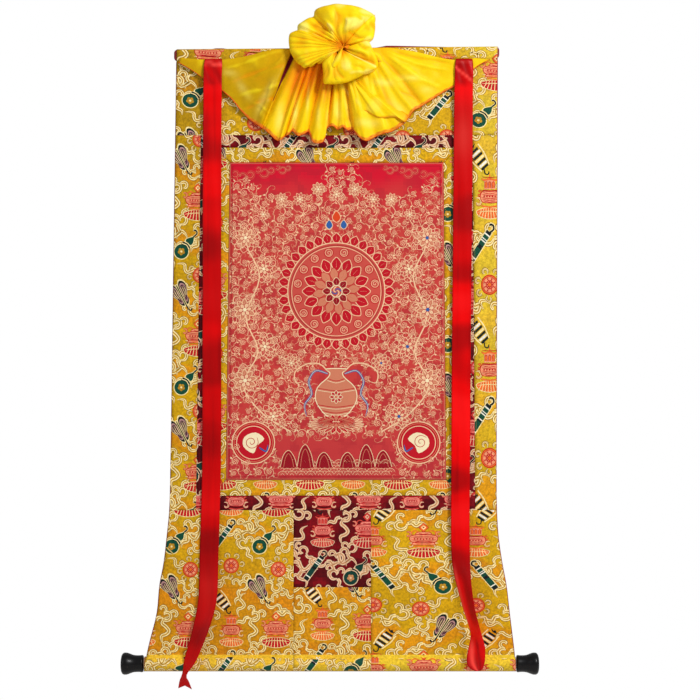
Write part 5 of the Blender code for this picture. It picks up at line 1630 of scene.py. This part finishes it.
def lacquer(name, colour, rough, coat, grain):
    made = bpy.data.materials.new(name)
    made.use_nodes = True
    tree = made.node_tree
    shader = tree.nodes["Principled BSDF"]
    coords = tree.nodes.new("ShaderNodeTexCoord")
    stretch = tree.nodes.new("ShaderNodeMapping")
    stretch.inputs["Scale"].default_value = (12.0, 160.0, 160.0)
    tree.links.new(coords.outputs["Object"], stretch.inputs["Vector"])
    lines = tree.nodes.new("ShaderNodeTexNoise")
    lines.inputs["Scale"].default_value = 2.0
    lines.inputs["Detail"].default_value = 5.0
    tree.links.new(stretch.outputs[0], lines.inputs["Vector"])
    factor = mathNode(tree, "MULTIPLY_ADD", lines.outputs[0], grain, 1.0 - grain * 0.5)
    scale = tree.nodes.new("ShaderNodeVectorMath")
    scale.operation = "SCALE"
    scale.inputs[0].default_value = colour
    tree.links.new(factor, scale.inputs["Scale"])
    tree.links.new(scale.outputs[0], shader.inputs["Base Color"])
    tree.links.new(mathNode(tree, "MULTIPLY_ADD", lines.outputs[0], 0.2, rough - 0.1), shader.inputs["Roughness"])
    bump = tree.nodes.new("ShaderNodeBump")
    bump.inputs["Strength"].default_value = 0.15
    bump.inputs["Distance"].default_value = 0.0004
    tree.links.new(lines.outputs[0], bump.inputs["Height"])
    tree.links.new(bump.outputs[0], shader.inputs["Normal"])
    shader.inputs["Coat Weight"].default_value = coat
    shader.inputs["Specular IOR Level"].default_value = 0.2
    shader.inputs["Coat Roughness"].default_value = 0.15
    return made


def makeKnob(name, node, start, direction, material):
    sides, profile = turned["sides"], turned["knob"]
    verts, faces = [], []
    for along, radius in profile:
        for k in range(sides):
            a = 2 * math.pi * k / sides
            verts.append((start + direction * along, radius * math.sin(a), mount["rollerZ"] + radius * math.cos(a)))
    for i in range(len(profile) - 1):
        for k in range(sides):
            n = (k + 1) % sides
            faces.append((i * sides + k, i * sides + n, (i + 1) * sides + n, (i + 1) * sides + k))
    faces += [tuple(range(sides)), tuple((len(profile) - 1) * sides + k for k in reversed(range(sides)))]
    knob = addPiece(name, verts, faces, material)
    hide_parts(node)


knobBlack = lacquer("knobLacquer", tone("030203"), 0.36, 0.1, 0.6)
makeKnob("knobLeft", "knob_left", float(edgeLeft(-1275)) - 1.9, -1, knobBlack)
makeKnob("knobRight", "knob_right", float(edgeRight(-1275)) + 1.9, 1, knobBlack)
for node, material in (("top_stave", lacquer("staveRed", tone("7c0f16"), 0.5, 0.2, 0.4)),
                       ("roller", lacquer("rollerWood", tone("9c6a3a"), 0.6, 0.0, 0.5))):
    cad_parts[node].data.materials.clear()
    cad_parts[node].data.materials.append(material)
print("ribbons, lining and wood made")


stitching = {"length": 2.6, "radius": 0.32, "spacing": 4.2, "inset": 3.0, "hemSpacing": 1.9, "hemRadius": 0.75}


def stitchTree():
    # sets one stitch out along the given lines, turned to follow them
    tree, given, place = newTree("stitchesAlong", [("Stitch", "Object"), ("Spacing", "Float")])
    curve, evenly, tangent, info = (tree.nodes.new("GeometryNode" + kind) for kind in (
        "MeshToCurve", "ResampleCurve", "InputTangent", "ObjectInfo"))
    evenly.mode = "LENGTH"
    aligned = tree.nodes.new("FunctionNodeAlignRotationToVector")
    aligned.axis = "X"
    for source, target in (
            (given["Geometry"], curve.inputs["Mesh"]), (curve.outputs[0], evenly.inputs["Curve"]),
            (given["Spacing"], evenly.inputs["Length"]), (tangent.outputs[0], aligned.inputs["Vector"]),
            (given["Stitch"], info.inputs["Object"]), (evenly.outputs[0], place.inputs["Points"]),
            (info.outputs["Geometry"], place.inputs["Instance"]), (aligned.outputs[0], place.inputs["Rotation"])):
        tree.links.new(source, target)
    return tree


def stitchMesh(length, radius):
    # a little bar with tapered ends, along x
    rings = ((-0.5, 0.25), (-0.36, 0.85), (0.36, 0.85), (0.5, 0.25))
    verts = [(length * along, radius * wide * math.cos(a), radius * wide * math.sin(a))
             for along, wide in rings for a in np.arange(6) * math.pi / 3]
    faces = [(6 * i + k, 6 * i + (k + 1) % 6, 6 * i + 6 + (k + 1) % 6,
              6 * i + 6 + k) for i in range(3) for k in range(6)]
    mesh = bpy.data.meshes.new("stitch")
    mesh.from_pydata(verts, [], faces + [tuple(range(5, -1, -1)), tuple(range(18, 24))])
    return mesh


stitchesAlong = stitchTree()


def sewAlong(name, lines, material, size):
    length, radius, spacing = size
    verts, edges = [], []
    for line in lines:
        start = len(verts)
        verts += [tuple(map(float, point)) for point in line]
        edges += [(i, i + 1) for i in range(start, len(verts) - 1)]
    paths = bpy.data.meshes.new("paths")
    paths.from_pydata(verts, edges, [])
    holder = bpy.data.objects.new("paths", paths)
    one = bpy.data.objects.new("stitch", stitchMesh(length, radius))
    for obj in (holder, one):
        bpy.context.scene.collection.objects.link(obj)
    made = bakeModifier(holder, stitchesAlong, {"Stitch": one, "Spacing": spacing, "Material": material})
    points = np.empty(len(made.vertices) * 3)
    made.vertices.foreach_get("co", points)
    faces = [tuple(face.vertices) for face in made.polygons]
    bpy.data.objects.remove(one, do_unlink=True)
    bpy.data.meshes.remove(made)
    sewn = addPiece(name, points.reshape(-1, 3), faces, material, closed=False)
    return sewn


def onCloth(xs, zs, off=0.35):
    xs, zs = np.asarray(xs, float) + 0 * np.asarray(zs, float), np.asarray(zs, float) + 0 * np.asarray(xs, float)
    return np.stack([xs, frontY(xs, zs) - off, lift(xs, zs)], 1)


def across(z, left, right, count=60):
    return onCloth(np.linspace(float(left(z)), float(right(z)), count), z)


def down(edge, top, bottom, count=90):
    z = np.linspace(top, bottom, count)
    return onCloth(edge(z), z)


inset = stitching["inset"]
goldThread = clothMaterial("goldThread", tone("d8a53a"), {"rough": 0.4, "threads": 2500.0, "bump": 0.1})
redThread = clothMaterial("redThread", tone("8c1018"), {"rough": 0.45, "threads": 2500.0, "bump": 0.1})
hemThread = clothMaterial("hemThread", tone("dc4a0c"), {"rough": 0.45, "threads": 2500.0, "bump": 0.1})
common = (stitching["length"], stitching["radius"], stitching["spacing"])
seamLines = {
    "brocade_top": (goldThread, [across(border + inset, edgeLeft, edgeRight)]),
    "brocade_left": (goldThread, [down(seam("strip_left", -inset), border - 2, low + 2),
                                  across(low + inset, edgeLeft, seam("strip_left", 0))]),
    "brocade_right": (goldThread, [down(seam("strip_right", inset), border - 2, low + 2),
                                   across(low + inset, seam("strip_right", 0), edgeRight)]),
    "frame_red_left": (redThread, [down(seam("red_left", -inset), mount["redTop"], mount["innerLow"])]),
    "frame_red_right": (redThread, [down(seam("red_right", inset), mount["redTop"], mount["innerLow"])]),
    "inner_left": (goldThread, [down(seam("inner_left", -inset), mount["head"], mount["foot"])]),
    "inner_right": (goldThread, [down(seam("inner_right", inset), mount["head"], mount["foot"])]),
    "inner_top": (goldThread, [across(mount["head"] + inset, seam("inner_left", 0), seam("inner_right", 0))]),
    "inner_bottom": (goldThread, [across(mount["foot"] - inset, seam("inner_left", 0), seam("inner_right", 0))]),
    "brocade_low_left": (goldThread, [across(mount["sleeveTop"] + 4, edgeLeft, fixed(mount["doorLeft"])),
                                      down(fixed(mount["doorLeft"] - inset), low - 2, mount["sleeveTop"] + 4)]),
    "brocade_low_mid": (goldThread,
                        [across(mount["sleeveTop"] + 4, fixed(mount["doorLeft"]), fixed(mount["doorRight"])),
                                     across(mount["doorFoot"] - inset, fixed(mount["doorLeft"]),
                                            fixed(mount["doorRight"]), 30)]),
    "brocade_low_right": (goldThread, [across(mount["sleeveTop"] + 4, fixed(mount["doorRight"]), edgeRight),
                                       down(fixed(mount["doorRight"] + inset), low - 2, mount["sleeveTop"] + 4)]),
}
sewnOn = {node: sewAlong("stitches_" + node, lines, thread, common) for node,
          (thread, lines) in seamLines.items()}
hemLine = veilSwagPoints[-1] + np.array([0, -0.6, 0.4])
hemCord = sewAlong("veilHem", [hemLine], hemThread, (3.0, stitching["hemRadius"], stitching["hemSpacing"]))
print("stitches sewn")

studio = {"distance": 3.4, "aimX": 0.0265, "aimZ": -0.6225, "scale": 485.0, "ambient": 0.42}
camera = bpy.data.objects.new("camera", bpy.data.cameras.new("camera"))
bpy.context.scene.collection.objects.link(camera)
camera.data.sensor_width = 36.0
camera.data.lens = 36.0 * studio["scale"] * studio["distance"] / 700.0
camera.location = (studio["aimX"], -studio["distance"], studio["aimZ"])
camera.rotation_euler = (math.radians(90), 0, 0)
bpy.context.scene.camera = camera

bpy.context.scene.view_settings.view_transform = "Standard"
world = bpy.data.worlds.new("studio")
world.use_nodes = True
tree = world.node_tree
white, soft = tree.nodes["Background"], tree.nodes.new("ShaderNodeBackground")
soft.inputs["Strength"].default_value = studio["ambient"]
white.inputs["Color"].default_value = (1, 1, 1, 1)
seen, blend = tree.nodes.new("ShaderNodeLightPath"), tree.nodes.new("ShaderNodeMixShader")
tree.links.new(seen.outputs["Is Camera Ray"], blend.inputs[0])
tree.links.new(soft.outputs[0], blend.inputs[1])
tree.links.new(white.outputs[0], blend.inputs[2])
tree.links.new(blend.outputs[0], tree.nodes["World Output"].inputs[0])
soft.inputs["Color"].default_value = (1, 1, 1, 1)
bpy.context.scene.world = world


def areaLight(name, place, size, power, aim=(0, 0, -0.6)):
    light = bpy.data.lights.new(name, "AREA")
    light.energy = power
    light.size = size
    obj = bpy.data.objects.new(name, light)
    obj.location = place
    obj.rotation_euler = (Vector(aim) - Vector(place)).to_track_quat("-Z", "Y").to_euler()
    bpy.context.scene.collection.objects.link(obj)


areaLight("keyLight", (2.1, -2.5, 1.3), 1.0, 106.0)
areaLight("fillLight", (-2.6, -2.2, 0.2), 1.6, 12.0)

floorMesh = bpy.data.meshes.new("floor")
floorMesh.from_pydata([(-1.6, -1.3, -1.45), (1.6, -1.3, -1.45), (1.6, 0.33, -1.45), (-1.6, 0.33, -1.45)], [],
                      [(0, 1, 2, 3)])
floorMesh.materials.append(clothMaterial("floorPaint", tone("f2f1ee"),
                                         {"rough": 0.8, "threads": 40.0, "bump": 0.0, "shade": 0.0,
                                                                       "uneven": 0.02, "sheen": 0.0}))
floor = bpy.data.objects.new("floor", floorMesh)
bpy.context.scene.collection.objects.link(floor)
